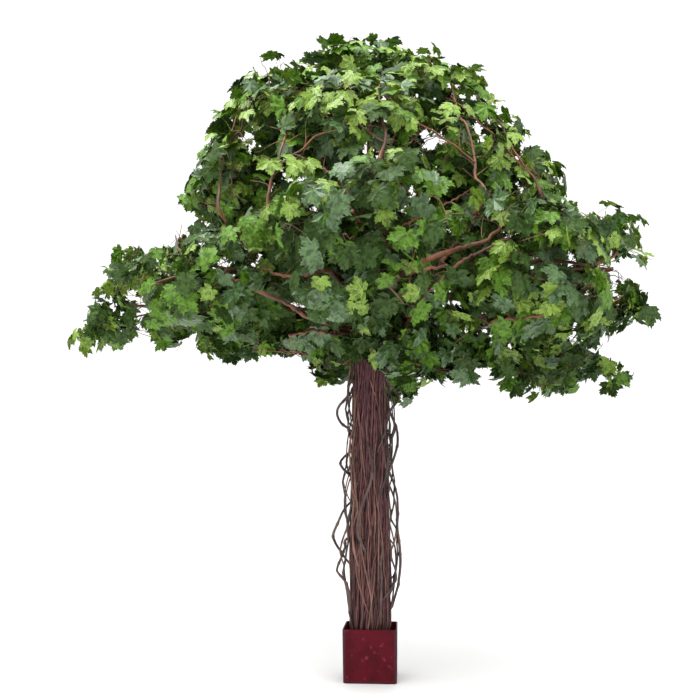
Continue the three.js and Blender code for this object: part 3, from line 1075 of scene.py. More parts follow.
# Sprays that stand out of the head or fill it: both ends of a run and the number of sprays along it.
TUFTS = (
    ((1.16, 0.10, 1.48), (1.29, 0.03, 1.39), 6),
    ((0.72, 0.15, 1.43), (0.73, 0.10, 1.36), 2),
    ((0.88, 0.15, 1.40), (0.90, 0.20, 1.34), 2),
    ((1.06, 0.10, 1.45), (1.07, 0.20, 1.36), 2),
    ((0.18, 0.02, 1.43), (0.23, 0.15, 1.31), 4),
    ((1.31, -0.19, 1.81), (1.33, -0.20, 1.65), 6),
    ((1.37, 0.05, 2.21), (1.39, 0.00, 2.18), 2),
    ((-1.39, -0.10, 1.86), (-1.37, -0.10, 1.83), 2),
    ((-1.31, -0.05, 2.02), (-1.24, 0.08, 2.14), 4),
    ((-1.37, -0.20, 1.62), (-1.45, -0.20, 1.58), 3),
    ((-0.75, -0.42, 2.58), (-0.56, -0.52, 2.82), 5),
    ((-0.93, -0.30, 2.25), (-0.93, -0.30, 2.25), 1),
    ((-0.28, -0.30, 3.00), (-0.06, -0.30, 3.14), 5),
    ((0.17, -0.30, 3.07), (0.17, -0.30, 3.07), 1),
    ((0.46, -0.30, 2.90), (0.57, -0.22, 2.95), 3),
    ((0.95, -0.20, 2.42), (1.00, -0.20, 2.34), 2),
    ((-0.85, 0.00, 1.58), (-0.87, 0.10, 1.56), 2),
    ((-0.67, 0.10, 1.51), (-0.67, 0.10, 1.51), 1),
    ((-0.29, 0.10, 1.45), (-0.18, 0.10, 1.36), 2),
    ((0.47, -0.25, 1.60), (0.42, 0.10, 1.66), 2),
    ((0.12, -0.38, 1.93), (0.33, -0.45, 1.97), 4),
    ((0.12, -0.44, 1.88), (0.28, -0.54, 1.95), 3),
    ((0.86, 0.70, 1.84), (0.76, 0.80, 1.80), 2),
    ((-0.38, 0.12, 2.85), (-0.20, 0.20, 2.97), 4),
    ((-0.30, 0.30, 2.95), (-0.30, 0.30, 2.95), 1),
)


@functools.lru_cache(maxsize=1)
def openings():
    """Place and radius of every opening: along each gap, and small ones strewn over the head."""
    random = np.random.default_rng(5)
    made = []
    for start, end, radius in GAPS:
        count = 1 + math.ceil(math.dist(start, end) / (1.8 * radius))
        made += [(x, z, radius) for x, z in np.linspace(start, end, count)]
    for _ in range(SPECKS):
        turn, out = random.uniform(-0.1, math.pi + 0.1), random.uniform(0.45, 0.92)
        made.append((1.3 * out * math.cos(turn), 1.65 + 1.45 * out * math.sin(turn), random.uniform(0.012, 0.018)))
    return made


def in_view(points):
    """Where points show from the front, on the upright plane through the trunk, and the scale there."""
    scale = VIEWPOINT[1] / (VIEWPOINT[1] - points[:, 1])
    return (VIEWPOINT + (points - VIEWPOINT) * scale[:, None])[:, [0, 2]], scale


def in_notch(points):
    """Whether points show inside one of the wider openings."""
    seen, _ = in_view(np.atleast_2d(points))
    hit = np.zeros(len(seen), bool)
    for x, z, radius in openings():
        hit |= (np.hypot(seen[:, 0] - x, seen[:, 1] - z) < radius + 0.01) & (radius >= NOTCH)
    return hit


def front_limbs(random, limbs):
    """Bare limbs in the front of the head, each joined to the bough nearest to its start."""
    stock = np.vstack([resample(path, 0.03) for path, _ in limbs])
    made = []
    for radius, points in FRONT_LIMBS:
        points = np.array(points)
        root = stock[np.argmin(np.linalg.norm(stock - points[0], axis=1))]
        path = rounded(np.vstack([root, points]), 8 * len(points))
        path[1:-1] += random.normal(0, 0.0025, path[1:-1].shape)
        made.append((path, np.linspace(radius * 1.1, radius * 0.45, len(path))))
    return made


def open_air(random, centres, sizes, bare):
    """Which leaves stay: those outside the openings, and most of those that don't hide a bare limb."""
    seen, scale = in_view(centres)
    reach = sizes * scale
    stay = np.ones(len(centres), bool)
    for x, z, radius in openings():
        stay &= np.hypot(seen[:, 0] - x, seen[:, 1] - z) > 0.8 * radius + 0.4 * reach
    spared = random.random(len(centres)) < 0.2
    for path, radii in bare:
        line = resample(path[8:], 0.02)
        thick = np.interp(np.linspace(0, 1, len(line)), np.linspace(0, 1, len(radii) - 8), radii[8:])
        places, enlarged = in_view(line)
        for point, place, width in zip(line, places, thick * enlarged):
            near = np.hypot(*(seen - place).T) < width + 0.3 * reach
            stay &= ~(near & (centres[:, 1] < point[1] - 0.01)) | spared
    return stay


@functools.lru_cache(maxsize=1)
def head_tree():
    """All the masses in one search tree."""
    corners, faces, held = [], [], 0
    for name in nodes_named("foliage"):
        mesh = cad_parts[name].data
        points, _ = node_mesh(name)
        corners.append(points)
        faces += [[v + held for v in p.vertices] for p in mesh.polygons]
        held += len(points)
    return BVHTree.FromPolygons([Vector(p) for p in np.vstack(corners)], faces)


def proud(points):
    """How far points stand out of the masses; less than nothing inside."""
    far = np.empty(len(points))
    for k, point in enumerate(points):
        near, normal, _, distance = head_tree().find_nearest(Vector(point))
        far[k] = math.copysign(distance, (Vector(point) - near).dot(normal))
    return far


@functools.lru_cache(maxsize=1)
def dome():
    """Reach of the whole head from its heart over a grid of directions, and the same with its clefts closed."""
    tree = head_tree()
    reach = np.zeros((RISES, TURNS))
    for i, rise in enumerate(np.linspace(-0.35, math.pi / 2, RISES)):
        for j in range(TURNS):
            turn = 2 * math.pi * j / TURNS
            ray = np.array([math.cos(rise) * math.cos(turn), math.cos(rise) * math.sin(turn), math.sin(rise)])
            hit = tree.ray_cast(Vector(HEART + ray * 4), Vector(-ray))
            reach[i, j] = 4 - hit[3] if hit[3] is not None else 0.0

    def sweep(grid, pick, width):
        for axis, size in ((1, width), (0, width // 2 + 1)):
            layers = []
            for move in range(-size, size + 1):
                if axis == 1:
                    layers.append(np.roll(grid, move, 1))
                else:
                    rows = np.clip(np.arange(RISES) + move, 0, RISES - 1)
                    layers.append(grid[rows])
            grid = pick(layers, axis=0)
        return grid

    closed = sweep(sweep(reach, np.max, 4), np.min, 4)
    soft = sweep(closed, np.mean, 1)
    return reach, np.maximum(np.minimum(closed, soft + 0.02), reach)


def dome_reach(rays):
    """The plain and the closed reach along each ray."""
    rise = np.arcsin(np.clip(rays[:, 2], -1, 1))
    row = np.clip((rise + 0.35) / (math.pi / 2 + 0.35) * (RISES - 1), 0, RISES - 1.001)
    turn = (np.arctan2(rays[:, 1], rays[:, 0]) / (2 * math.pi) * TURNS) % TURNS
    i, j = row.astype(int), turn.astype(int)
    k = (j + 1) % TURNS
    a, b = row - i, turn - j
    return [
        (1 - a) * ((1 - b) * g[i, j] + b * g[i, k]) + a * ((1 - b) * g[i + 1, j] + b * g[i + 1, k])
        for g in dome()
    ]


def cleft_sites(random, spacing):
    """Places that close the clefts between masses on the outside of the head."""
    wanted = int(4 * math.pi * 1.1**2 / spacing**2)
    k = np.arange(wanted) + 0.5
    z = 1 - 2 * k / wanted
    turn = math.pi * (1 + 5**0.5) * k
    rays = np.stack([np.sqrt(1 - z * z) * np.cos(turn), np.sqrt(1 - z * z) * np.sin(turn), z], 1)
    rays = unit(rays + random.normal(0, 0.03, rays.shape))
    rays = rays[(rays[:, 2] > -0.2)]
    plain, closed = dome_reach(rays)
    open_ = (closed - plain > 0.05) & (plain > 0.3)
    rays, closed = rays[open_], closed[open_]
    return HEART + rays * (closed - random.uniform(0.04, 0.14, len(rays)))[:, None], rays


def under_dome(turns, rises, depth, share):
    """A path at a depth under the closed head; share is how far out from the column it has come."""
    rays = np.stack([np.cos(rises) * np.cos(turns), np.cos(rises) * np.sin(turns), np.sin(rises)], 1)
    reach = dome_reach(rays)[1]
    reach[1:-1] = (reach[:-2] + reach[1:-1] + reach[2:]) / 3
    return HEART + rays * (0.12 + (reach - depth - 0.12) * share)[:, None]


def face_limbs(random):
    """Long limbs, each forked once, that climb close under the leaves all round the head."""
    made = []
    for k in range(FACE_LIMBS):
        turn = 2 * math.pi * (k + random.uniform(-0.3, 0.3)) / FACE_LIMBS
        top, drift = random.uniform(0.6, 1.25), random.uniform(-0.5, 0.5)
        depth, sway = random.uniform(0.055, 0.1), waves(random, 2, 0.6, 2.0, 0.06)
        t = np.linspace(0, 1, 22)
        rises = -0.3 + (top + 0.3) * t
        main = under_dome(turn + drift * t + sway(t), rises, depth, smooth(t / 0.28))
        radii = np.interp(t, [0, 0.3, 1], [0.012, 0.0065, 0.0028])
        barred = np.flatnonzero(in_notch(main))
        stop = max(barred[0], 6) if len(barred) else len(main)
        made.append((main[:stop], radii[:stop]))
        at = random.integers(8, 13)
        t = np.linspace(0, 1, 14)
        swing = -np.sign(drift) * random.uniform(0.25, 0.5)
        begin = turn + drift * at / 21 + float(sway(at / 21))
        fork = under_dome(begin + swing * t, rises[at] + random.uniform(0.15, 0.5) * t, depth, np.ones(14))
        fork += (main[at] - fork[0]) * (1 - t[:, None]) ** 2
        if stop > at and not in_notch(fork).any():
            made.append((fork, np.interp(t, [0, 1], [0.005, 0.0026])))
    return [(path + random.normal(0, 0.0035, path.shape), radii) for path, radii in made]


@functools.lru_cache(maxsize=1)
def crown_plan(seed, spacing, inner_spacing):
    """Grows every mass once: limbs, shoots and the place of every spray."""
    random = np.random.default_rng(seed)
    masses = nodes_named("foliage")
    limbs, shoots, sprays = [], [], []
    faces = face_limbs(np.random.default_rng(seed + 7))
    face_points = np.vstack([resample(path[5:], 0.03) for path, _ in faces])
    clefts, cleft_rays = cleft_sites(random, spacing * 1.05)
    nearest = [
        min(range(len(masses)), key=lambda m: solid_tree(masses[m]).find_nearest(Vector(p))[3])
        for p in clefts
    ]
    nearest = np.array(nearest)
    for name in masses:
        bough = "leader" if name == "foliage_top" else name.replace("foliage", "bough")
        path, radii = bough_path(bough)
        points, _ = node_mesh(name)
        centre = (points.min(0) + points.max(0)) / 2
        end, heading = path[-1], unit(path[-1] - path[-2])
        far = unit(centre - end + 0.15 * heading)
        hit = solid_tree(name).ray_cast(Vector(centre), Vector(far))
        reach = float(np.linalg.norm(centre - end)) + (hit[3] or 0.1) * 0.72
        tip = end + far * reach
        inside = bezier(end, end + heading * reach * 0.45 + UP * 0.02, tip, 9)
        inside[1:-1] += random.normal(0, 0.008, (7, 3))
        taper = np.linspace(radii[-1], 0.0042, 9)
        limb, limb_radii = np.vstack([path, inside[1:]]), np.r_[radii, taper[1:]]
        skeleton = Skeleton()
        skeleton.grow(inside, -1, float(radii[-1]), chain=False)
        bare = resample(path[1:], 0.05)
        skeleton.grow(bare, -1, float(radii[-1]), chain=False)
        undergrowth = UNDERGROWTH.get(name.split("_")[1], 0)
        picks = random.integers(len(bare) // 4, len(bare), undergrowth)
        aside = unit(random.normal(0, 1, (undergrowth, 3)) * [1, 1, 0.7])
        low_sites = bare[picks] + aside * random.uniform(0.07, 0.2, (undergrowth, 1))
        low_sites = low_sites[np.hypot(low_sites[:, 0], low_sites[:, 1]) > 0.15]
        low_out = unit(low_sites * [1, 1, 0] + [0, 0, 0.1])
        outer, outward = surface_sites(random, name, spacing)
        others = [solid_tree(n) for n in masses if n != name]
        keep = []
        for k, spot in enumerate(outer):
            probe = Vector(spot + outward[k] * 0.02)
            shared = any(t.find_nearest(probe, 0.085)[0] is not None for t in others)
            keep.append(not shared or random.random() < 0.22)
        outer, outward = outer[keep], outward[keep]
        depth = random.uniform(0.05, 0.115, len(outer))
        tufts = (random.random(len(outer)) < 0.1) & (outward[:, 2] > -0.15)
        depth = np.where(tufts, random.uniform(-0.045, 0.02, len(outer)), depth)[:, None]
        inward = unit(centre - outer)
        hang = 0.05 * np.clip(-outward[:, 2:], 0, 1)
        sites = outer - outward * depth * 0.6 + inward * depth * 0.4 + UP * hang
        inner, inner_out = surface_sites(random, name, inner_spacing)
        room = np.linalg.norm(centre - inner, axis=1, keepdims=True)
        inner_sites = inner + unit(centre - inner) * np.minimum(
            random.uniform(0.2, 0.3, (len(inner), 1)), room * 0.62
        )
        forks = outer[:: max(1, len(outer) // 7)]
        for fork in sorted(forks, key=lambda p: np.linalg.norm(p - end)):
            skeleton.shoot(random, end + (fork - end) * 0.62, 0.009)
        along_ribs = []
        outermost = np.argsort(-((outer - HEART) * unit(centre - HEART)).sum(1) - 0.5 * random.random(len(outer)))
        ends = []
        for k in outermost:
            if len(ends) == RIBS:
                break
            if all(np.linalg.norm(outer[k] - e) > 0.33 for e in ends):
                ends.append(outer[k])
        for goal in ends:
            begin = skeleton.points[int(random.integers(0, 3))]
            half = (begin + goal) / 2
            push = unit(unit(half - HEART) + unit(goal - centre) * 0.3)
            hit = solid_tree(name).ray_cast(Vector(centre), Vector(push))
            crest = hit[0] if hit[0] is not None else Vector(half)
            control = np.array(crest) * 1.0 - push * 0.02
            path = bezier(begin, control * 1.25 - half * 0.25, goal - unit(goal - centre) * 0.07, 12)
            path[1:-1] += random.normal(0, 0.007, (10, 3))
            skeleton.grow(path, 0, 0.0095)
            along_ribs.append(path[3:10])
        ribs = np.vstack([*along_ribs, face_points])
        gap = np.linalg.norm(sites[:, None] - ribs[None] - UP * 0.045, axis=2).min(1)
        clear = (gap > 0.085) | (random.random(len(sites)) < 0.4)
        thin = np.array([noise.noise(Vector(p) * 4.6) for p in sites])
        central = (sites[:, 1] < -0.3) & (np.abs(sites[:, 0] - 0.15) < 0.5) & (sites[:, 2] < 2.2)
        clear &= (thin < np.where(central, 0.08, 0.24)) | (random.random(len(sites)) < 0.3)
        sites, outward = sites[clear], outward[clear]
        mine = nearest == masses.index(name)
        kinds = np.r_[np.zeros(len(inner_sites) + len(low_sites)), np.ones(len(sites) + mine.sum())]
        everything = np.vstack([inner_sites, low_sites, sites, clefts[mine]])
        outs = np.vstack([inner_out, low_out, outward, cleft_rays[mine]])
        order = np.argsort(np.linalg.norm(everything - end, axis=1) - 0.05 * kinds)
        for k in order:
            skeleton.shoot(random, everything[k], 0.006, skip=2)
            chain = skeleton.chains[-1]
            sprays.append(
                (
                    everything[k],
                    skeleton.directions[chain[-1]],
                    unit(0.65 * outs[k] + 0.35 * unit(everything[k] - HEART)),
                    kinds[k],
                )
            )
        counts = skeleton.counts()
        skeleton_points = np.array(skeleton.points)
        limits = np.array(skeleton.limits)
        radius = np.minimum(0.00135 * np.maximum(counts, 1) ** 0.45, limits)
        used = [limb[0]]
        for chain in skeleton.chains:
            if counts[chain[-1]] < 1 or (counts[chain[1]] < 2 and in_notch(skeleton_points[chain[-1]])[0]):
                continue
            r = radius[chain].copy()
            r[-1] = min(r[-1], 0.0011)
            shoots.append((skeleton_points[chain], r))
            used.append(skeleton_points[chain[0]])
        barred = np.flatnonzero(in_notch(limb))
        if len(barred) and barred[0] > len(limb) - 9:
            held = [np.argmin(np.linalg.norm(limb - point, axis=1)) for point in used]
            stop = max(barred[0], min(max(held) + 1, len(limb) - 1))
            limb, limb_radii = limb[:stop], limb_radii[:stop]
        limbs.append((limb, limb_radii))
    for path, radii in faces:
        along = lengths_along(path)
        where, side = 0.5 if np.hypot(*path[0][:2]) < 0.3 else 0.08, 1
        while where < along[-1]:
            at = np.array([np.interp(where, along, path[:, k]) for k in range(3)])
            ahead = np.array([np.interp(where + 0.03, along, path[:, k]) for k in range(3)])
            heading, away = unit(ahead - at + 1e-6), unit(at - HEART)
            aside = unit(np.cross(heading, away)) * side
            tip = at + aside * random.uniform(0.05, 0.11) + heading * random.uniform(0.02, 0.07)
            tip += away * random.uniform(-0.03, 0.035) + UP * random.uniform(-0.02, 0.03)
            shoot = bezier(at, at + heading * 0.03 + aside * 0.02, tip, 4)
            shoots.append((shoot, np.linspace(0.0022, 0.0011, 4)))
            sprays.append((tip, unit(tip - shoot[2]), away, 1))
            where, side = where + random.uniform(0.05, 0.1), -side
    bare = front_limbs(np.random.default_rng(seed + 8), limbs)
    tips = np.vstack([path for path, _ in shoots])
    for path, _ in bare:
        for point in resample(path[8:], 0.1):
            behind = unit(unit(HEART - point) + random.normal(0, 0.45, 3))
            spot = point + behind * random.uniform(0.08, 0.2)
            shoot = bezier(point, (point + spot) / 2 + UP * 0.02, spot, 4)
            shoots.append((shoot, np.linspace(0.0024, 0.0011, 4)))
            sprays.append((spot, unit(spot - shoot[2]), -behind, 0))
    waiting = np.vstack([np.linspace(start, end, number) for start, end, number in TUFTS])
    waiting += np.random.default_rng(seed + 9).normal(0, 0.012, waiting.shape)
    waiting = waiting - unit(waiting - HEART) * 0.07
    while len(waiting):
        gaps = [np.linalg.norm(tips - tuft, axis=1).min() for tuft in waiting]
        tuft = waiting[np.argmin(gaps)]
        waiting = np.delete(waiting, np.argmin(gaps), 0)
        away = unit(tuft - HEART)
        around = tips[np.argsort(np.linalg.norm(tips - (tuft - away * 0.04), axis=1))[:400]]
        cost = np.linalg.norm(around - (tuft - away * 0.04), axis=1)
        cost += 0.25 * in_notch((around + tuft) / 2) + 0.5 * np.clip(around[:, 2] - tuft[2] - 0.06, 0, 1)
        start = around[np.argmin(cost)]
        shoot = bezier(start, (start + tuft) / 2 + UP * 0.02, tuft, 5)
        shoots.append((shoot, np.linspace(0.0024, 0.0011, 5)))
        sprays.append((tuft, unit(shoot[-1] - shoot[-2]), away, 2))
        tips = np.vstack([tips, shoot[2:]])
    spots = np.array([s[0] for s in sprays])
    twig = unit(np.array([s[1] for s in sprays]))
    out = unit(np.array([s[2] for s in sprays]))
    kind = np.array([s[3] for s in sprays])
    return limbs, faces, bare, shoots, (spots, twig, out, kind)


def planned(context):
    crown = context.scene.maple_crown
    return crown_plan(crown.seed, crown.spacing, crown.inner_spacing)


class MAPLE_OT_boughs(bpy.types.Operator):
    """Makes the main boughs with the relief of their bark"""

    bl_idname = "maple.boughs"
    bl_label = "Boughs"

    def execute(self, context):
        crown = context.scene.maple_crown
        random = np.random.default_rng(crown.seed + 1)
        limbs, faces, bare, _, _ = planned(context)
        pieces = Pieces()
        for path, radii in limbs:
            count = 46
            fine = rounded(path, count)
            stations = np.linspace(0, 1, count)
            r = np.interp(stations, np.linspace(0, 1, len(radii)), radii)
            turns = np.linspace(0, 2 * math.pi, 14, endpoint=False)
            relief = np.ones((count, 14))
            for _ in range(5):
                lobes = random.integers(2, 6)
                spin, phase = random.uniform(-9, 9), random.uniform(0, 6.3)
                relief += 0.035 * np.sin(lobes * turns[None] + spin * stations[:, None] + phase)
            for _ in range(random.integers(3, 6)):
                knot, where = random.uniform(0.05, 0.9), random.uniform(0, 6.3)
                near = np.exp(-(((stations - knot) / 0.022) ** 2))[:, None]
                relief += near * (0.12 + 0.22 * np.maximum(0, np.cos(turns - where))[None])
            pieces.tube(fine, r, 14, relief)
        material = bough_material(
            "bough_bark", shown(crown.bark), shown(crown.worn), linear("6a5340")
        )
        settle(
            pieces.make("boughs", material), "bough_bark", *nodes_named("bough", "leader")
        )
        climbing = Pieces()
        for path, radii in faces + bare:
            fine = rounded(path, len(path) * 2)
            r = np.interp(np.linspace(0, 1, len(fine)), np.linspace(0, 1, len(radii)), radii)
            climbing.tube(fine, r * (1 + waves(random, 3, 2, 9, 0.12)(np.linspace(0, 1, len(fine)))), 8)
        settle(climbing.make("climbing_limbs", material), "bough_bark")
        return {"FINISHED"}


class MAPLE_OT_twigs(bpy.types.Operator):
    """Makes the shoots that branch through the masses"""

    bl_idname = "maple.twigs"
    bl_label = "Twigs"

    def execute(self, context):
        _, _, _, shoots, _ = planned(context)
        pieces = Pieces()
        for path, radii in shoots:
            pieces.tube(path, radii, 6 if radii[0] > 0.004 else 5)
        material = bough_material("twig_bark", linear("4c2e20"), linear("80583a"), linear("7b6a4a"))
        settle(pieces.make("twigs", material), "bough_bark")
        return {"FINISHED"}


# ---------------------------------------------------------------- leaves

LOBES = ((0.0, 1.0, 2, 2), (46.0, 0.9, 1, 2), (96.0, 0.62, 0, 1))
SINUSES = (0.55, 0.45)


def leaf_shape(random, droop, fold, cup):
    """One maple leaf, one unit long: outline with toothed lobes, folded along its veins."""
    points, triangles = [(0.0, 0.0, 0.0)], []

    def put(angle, along, aside, height):
        a = math.radians(angle)
        x = along * math.sin(a) + aside * math.cos(a)
        y = along * math.cos(a) - aside * math.sin(a)
        points.append(
            (
                x + random.normal(0, 0.008),
                y + random.normal(0, 0.008),
                height + random.normal(0, 0.006),
            )
        )
        return len(points) - 1

    def half(lobe_angle, length, teeth, side, sinus, vein, tip):
        """One side of a lobe, from its sinus to its tip."""
        face = []
        marks = (
            [(0.74, 0.19, fold)],
            [(0.76, 0.25, fold), (0.76, 0.12, fold * 0.4)],
            [(0.72, 0.27, fold), (0.72, 0.16, fold * 0.5), (0.88, 0.15, fold * 0.6), (0.86, 0.07, 0)],
        )[teeth]
        rim = [sinus]
        for along, aside, height in marks:
            rim.append(put(lobe_angle, along * length, side * aside * length, height))
        rim.append(tip)
        face.append((0, sinus, vein))
        for a, b in zip(rim, rim[1:]):
            face.append((a, b, vein))
        for a, b, c in face:
            triangles.append((a, b, c) if side < 0 else (b, a, c))

    tips, veins = {}, {}
    for k, (angle, length, _, _) in enumerate(LOBES):
        for side in (1,) if k == 0 else (-1, 1):
            swing = angle * side + random.normal(0, 2.0)
            size = length * random.uniform(0.94, 1.05)
            veins[k, side] = put(swing, size * 0.5, 0.0, -fold * 0.35)
            tips[k, side] = (swing, size, put(swing, size, 0.0, 0.0))
    between = {}
    for side in (-1, 1):
        between[0, side] = put(23.5 * side, SINUSES[0], 0.0, fold * 0.9)
        between[1, side] = put(73.0 * side, SINUSES[1], 0.0, fold * 0.9)
        between[2, side] = put(150.0 * side, 0.2, 0.0, fold * 0.6)
    swing, size, tip = tips[0, 1]
    for side in (-1, 1):
        half(swing, size, 2, side, between[0, side], veins[0, 1], tip)
    for k in (1, 2):
        for side in (-1, 1):
            swing, size, tip = tips[k, side]
            _, _, towards, away = LOBES[k]
            inner, outer = between[k - 1, side], between[k, side]
            half(swing, size, towards, -side, inner, veins[k, side], tip)
            half(swing, size, away, side, outer, veins[k, side], tip)
    points = np.array(points)
    ribs, strips = [], []
    for key, vein in veins.items():
        middle, end = points[vein], points[tips[key][2]] * 0.93
        along = unit(middle[:2])
        aside = np.array([-along[1], along[0], 0.0])
        k = len(ribs)
        ribs += [-aside * 0.013, aside * 0.013, middle - aside * 0.01, middle + aside * 0.01, end]
        strips += [(k, k + 2, k + 1), (k + 1, k + 2, k + 3), (k + 2, k + 4, k + 3)]
    ribs = np.array(ribs) + [0, 0, 0.007]
    for held in (points, ribs):
        held[:, 2] += cup * held[:, 0] ** 2 - droop * (held[:, :2] ** 2).sum(1)
    return points, np.array(triangles), ribs, np.array(strips)


def leaf_shapes(seed):
    random = np.random.default_rng(seed)
    kinds = ((0.16, 0.055, 0.0), (0.34, 0.05, -0.1), (0.05, 0.07, 0.16), (0.45, 0.04, 0.1), (0.22, 0.06, -0.22))
    return [leaf_shape(random, *kind) for kind in kinds]


TINTS = ("bright", "fresh", "deep", "blue")
# Tint shares: bright, fresh, deep, blue. The tints are the leaves' own colours, but where they go is painted light and
# shade. High and outer sprays take more bright leaves; low, middle and inner sprays take more deep ones.
LOW_SHADED_SHARES = (0.13, 0.27, 0.42, 0.18)
HIGH_LIT_SHARES = (0.56, 0.3, 0.08, 0.06)
INNER_SHADED_SHARES = (0.08, 0.2, 0.54, 0.18)
TINT_SIZES = (0.9, 0.97, 1.05, 1.05)
STALK = (0.0013, 0.001)


class MAPLE_OT_leaves(bpy.types.Operator):
    """Hangs the cloth leaves and their stalks on every spray"""

    bl_idname = "maple.leaves"
    bl_label = "Leaves"

    def execute(self, context):
        crown = context.scene.maple_crown
        random = np.random.default_rng(crown.seed + 2)
        _, _, bare, _, (spots, twig, out, kind) = planned(context)
        count = len(spots)
        # Painted light and shade: sprays move towards the lit shares with height and towards the sides of the head.
        # Sprays inside the masses take the shaded inner shares.
        aside = np.abs(spots[:, :1] + 0.1)
        lift = np.minimum(smooth((spots[:, 2:] - 1.6) / 1.3) + 0.5 * smooth((aside - 0.45) / 0.4), 1)
        shares = np.array(LOW_SHADED_SHARES) * (1 - lift) + np.array(HIGH_LIT_SHARES) * lift
        shares = np.where(kind[:, None] > 0, shares, INNER_SHADED_SHARES)
        tint = (random.random(count)[:, None] > np.cumsum(shares, axis=1)[:, :3]).sum(1)
        number = np.clip(crown.leaves + random.integers(-1, 2, count), 2, 9)
        owner = np.repeat(np.arange(count), number)
        rank = np.concatenate([np.arange(n) for n in number])
        total = len(owner)
        strayed = random.random(total) < 0.26
        shade = np.where(strayed, random.integers(0, 4, total), tint[owner])
        # Painted shade: leaves on inner sprays are never bright.
        shade = np.where((kind[owner] == 0) & (shade == 0), 2, shade)
        size = crown.leaf * random.uniform(0.78, 1.14, total) * np.array(TINT_SIZES)[shade]
        g, o = twig[owner], out[owner]
        u, v = across(g)
        turn = (rank * 2.4 + random.uniform(0, 6.3, count)[owner] + random.normal(0, 0.3, total))[:, None]
        radial = np.cos(turn) * u + np.sin(turn) * v
        back = (rank / number[owner] * 0.10 * random.uniform(0.7, 1.2, total))[:, None]
        foot = spots[owner] - g * back
        rnd = random.normal(0, 1, (3, total, 3))
        stalk = unit(0.45 * g + 0.8 * radial + 0.55 * o + 0.12 * UP + 0.2 * rnd[0])
        stalk_length = (0.045 + 0.035 * random.random(total))[:, None]
        joint = foot + stalk * stalk_length
        normal = unit(0.8 * o + 0.3 * UP + 0.32 * radial + 0.42 * rnd[1])
        tip = -0.9 * UP + 0.3 * o + 0.42 * radial + 0.42 * rnd[2]
        tip = unit(tip - normal * (tip * normal).sum(1, keepdims=True))
        side = np.cross(tip, normal)
        inside = np.ones(total, bool)
        far = joint + tip * size[:, None]
        margin = 0.045
        for k in range(3):
            inside &= (far[:, k] < CAD_BOX[1][k] + margin) & (far[:, k] > CAD_BOX[0][k] - margin)
        beyond = proud(far)
        tufted = kind[owner] == 2
        inside &= tufted | (beyond < np.where(random.random(total) < 0.25, 0.09, 0.03))
        inside &= tufted | ~in_notch(spots)[owner]
        inside &= open_air(np.random.default_rng(crown.seed + 5), joint + tip * size[:, None] * 0.45, size, bare)
        shapes = leaf_shapes(crown.seed + 3)
        form = random.integers(0, len(shapes), total)
        stretch = random.uniform(0.92, 1.1, total)
        colours = {
            "bright": (shown(crown.bright), tuple(c * 0.8 for c in shown(crown.bright)), 0.46, 0.3),
            "fresh": (shown(crown.fresh), tuple(c * 0.78 for c in shown(crown.fresh)), 0.48, 0.22),
            "deep": (shown(crown.deep), tuple(c * 0.75 for c in shown(crown.deep)), 0.5, 0.16),
            "blue": (shown(crown.blue), tuple(c * 0.72 for c in shown(crown.blue)), 0.4, 0.4),
        }
        masses = nodes_named("foliage")
        scale = size[:, None] * np.stack([stretch, 1 / stretch, np.ones(total)], 1)

        def hung(block, points):
            """The shape's points on every leaf of the block."""
            p = points[None] * scale[block][:, None]
            return (
                joint[block][:, None]
                + p[..., 0:1] * side[block][:, None]
                + p[..., 1:2] * tip[block][:, None]
                + p[..., 2:3] * normal[block][:, None]
            ).reshape(-1, 3)

        def copies(block, points, triangles):
            offsets = np.arange(len(block))[:, None, None] * len(points)
            return (triangles[None] + offsets).reshape(-1, 3)

        veins = Pieces()
        for index, name in enumerate(TINTS):
            material = leaf_material("leaf_" + name, *colours[name])
            pieces, part, held = Pieces(), 1, 0
            for f, (points, triangles, ribs, strips) in enumerate(shapes):
                chosen = np.flatnonzero(inside & (shade == index) & (form == f))
                for block in np.array_split(chosen, max(1, math.ceil(len(chosen) / 400))):
                    if not len(block):
                        continue
                    if held + len(block) * len(triangles) > LIMIT:
                        settle(pieces.make(f"leaves_{name}_{part}", material, False), "leaves", *masses)
                        pieces, part, held = Pieces(), part + 1, 0
                    pieces.add(hung(block, points), None, copies(block, points, triangles))
                    held += len(block) * len(triangles)
                    if name == "bright":
                        veins.add(hung(block, ribs), None, copies(block, ribs, strips))
            if held:
                settle(pieces.make(f"leaves_{name}_{part}", material, False), "leaves", *masses)
        vein = Shader("leaf_vein", Roughness=0.5)
        drift = vein.noise(30, 2)
        vein.wear("Base Color", vein.mix(drift, linear("86a44a"), linear("96b05c")))
        settle(veins.make("leaf_veins", vein.material, False), "leaves")
        kept = np.flatnonzero(inside)
        u, v = across(stalk[kept])
        middle = foot[kept] + stalk[kept] * stalk_length[kept] * 0.55 + UP * 0.006
        rings = [
            at + radius * (u * math.cos(turn) + v * math.sin(turn))
            for at, radius in ((foot[kept], STALK[0]), (middle, STALK[1]))
            for turn in (0, 2.094, 4.189)
        ]
        corners = np.stack([*rings, joint[kept]], 1).reshape(-1, 3)
        sides = [(0, 1, 4), (0, 4, 3), (1, 2, 5), (1, 5, 4), (2, 0, 3), (2, 3, 5), (3, 4, 6), (4, 5, 6), (5, 3, 6)]
        offsets = np.arange(len(kept))[:, None, None] * 7
        stalks = Pieces()
        stalks.add(corners, None, (np.array(sides)[None] + offsets).reshape(-1, 3))
        material = bough_material("stalk", linear("5a4a24"), linear("7c8a3c"), linear("7a4a30"))
        settle(stalks.make("leaf_stalks", material), "leaves")
        return {"FINISHED"}


# ---------------------------------------------------------------- stage


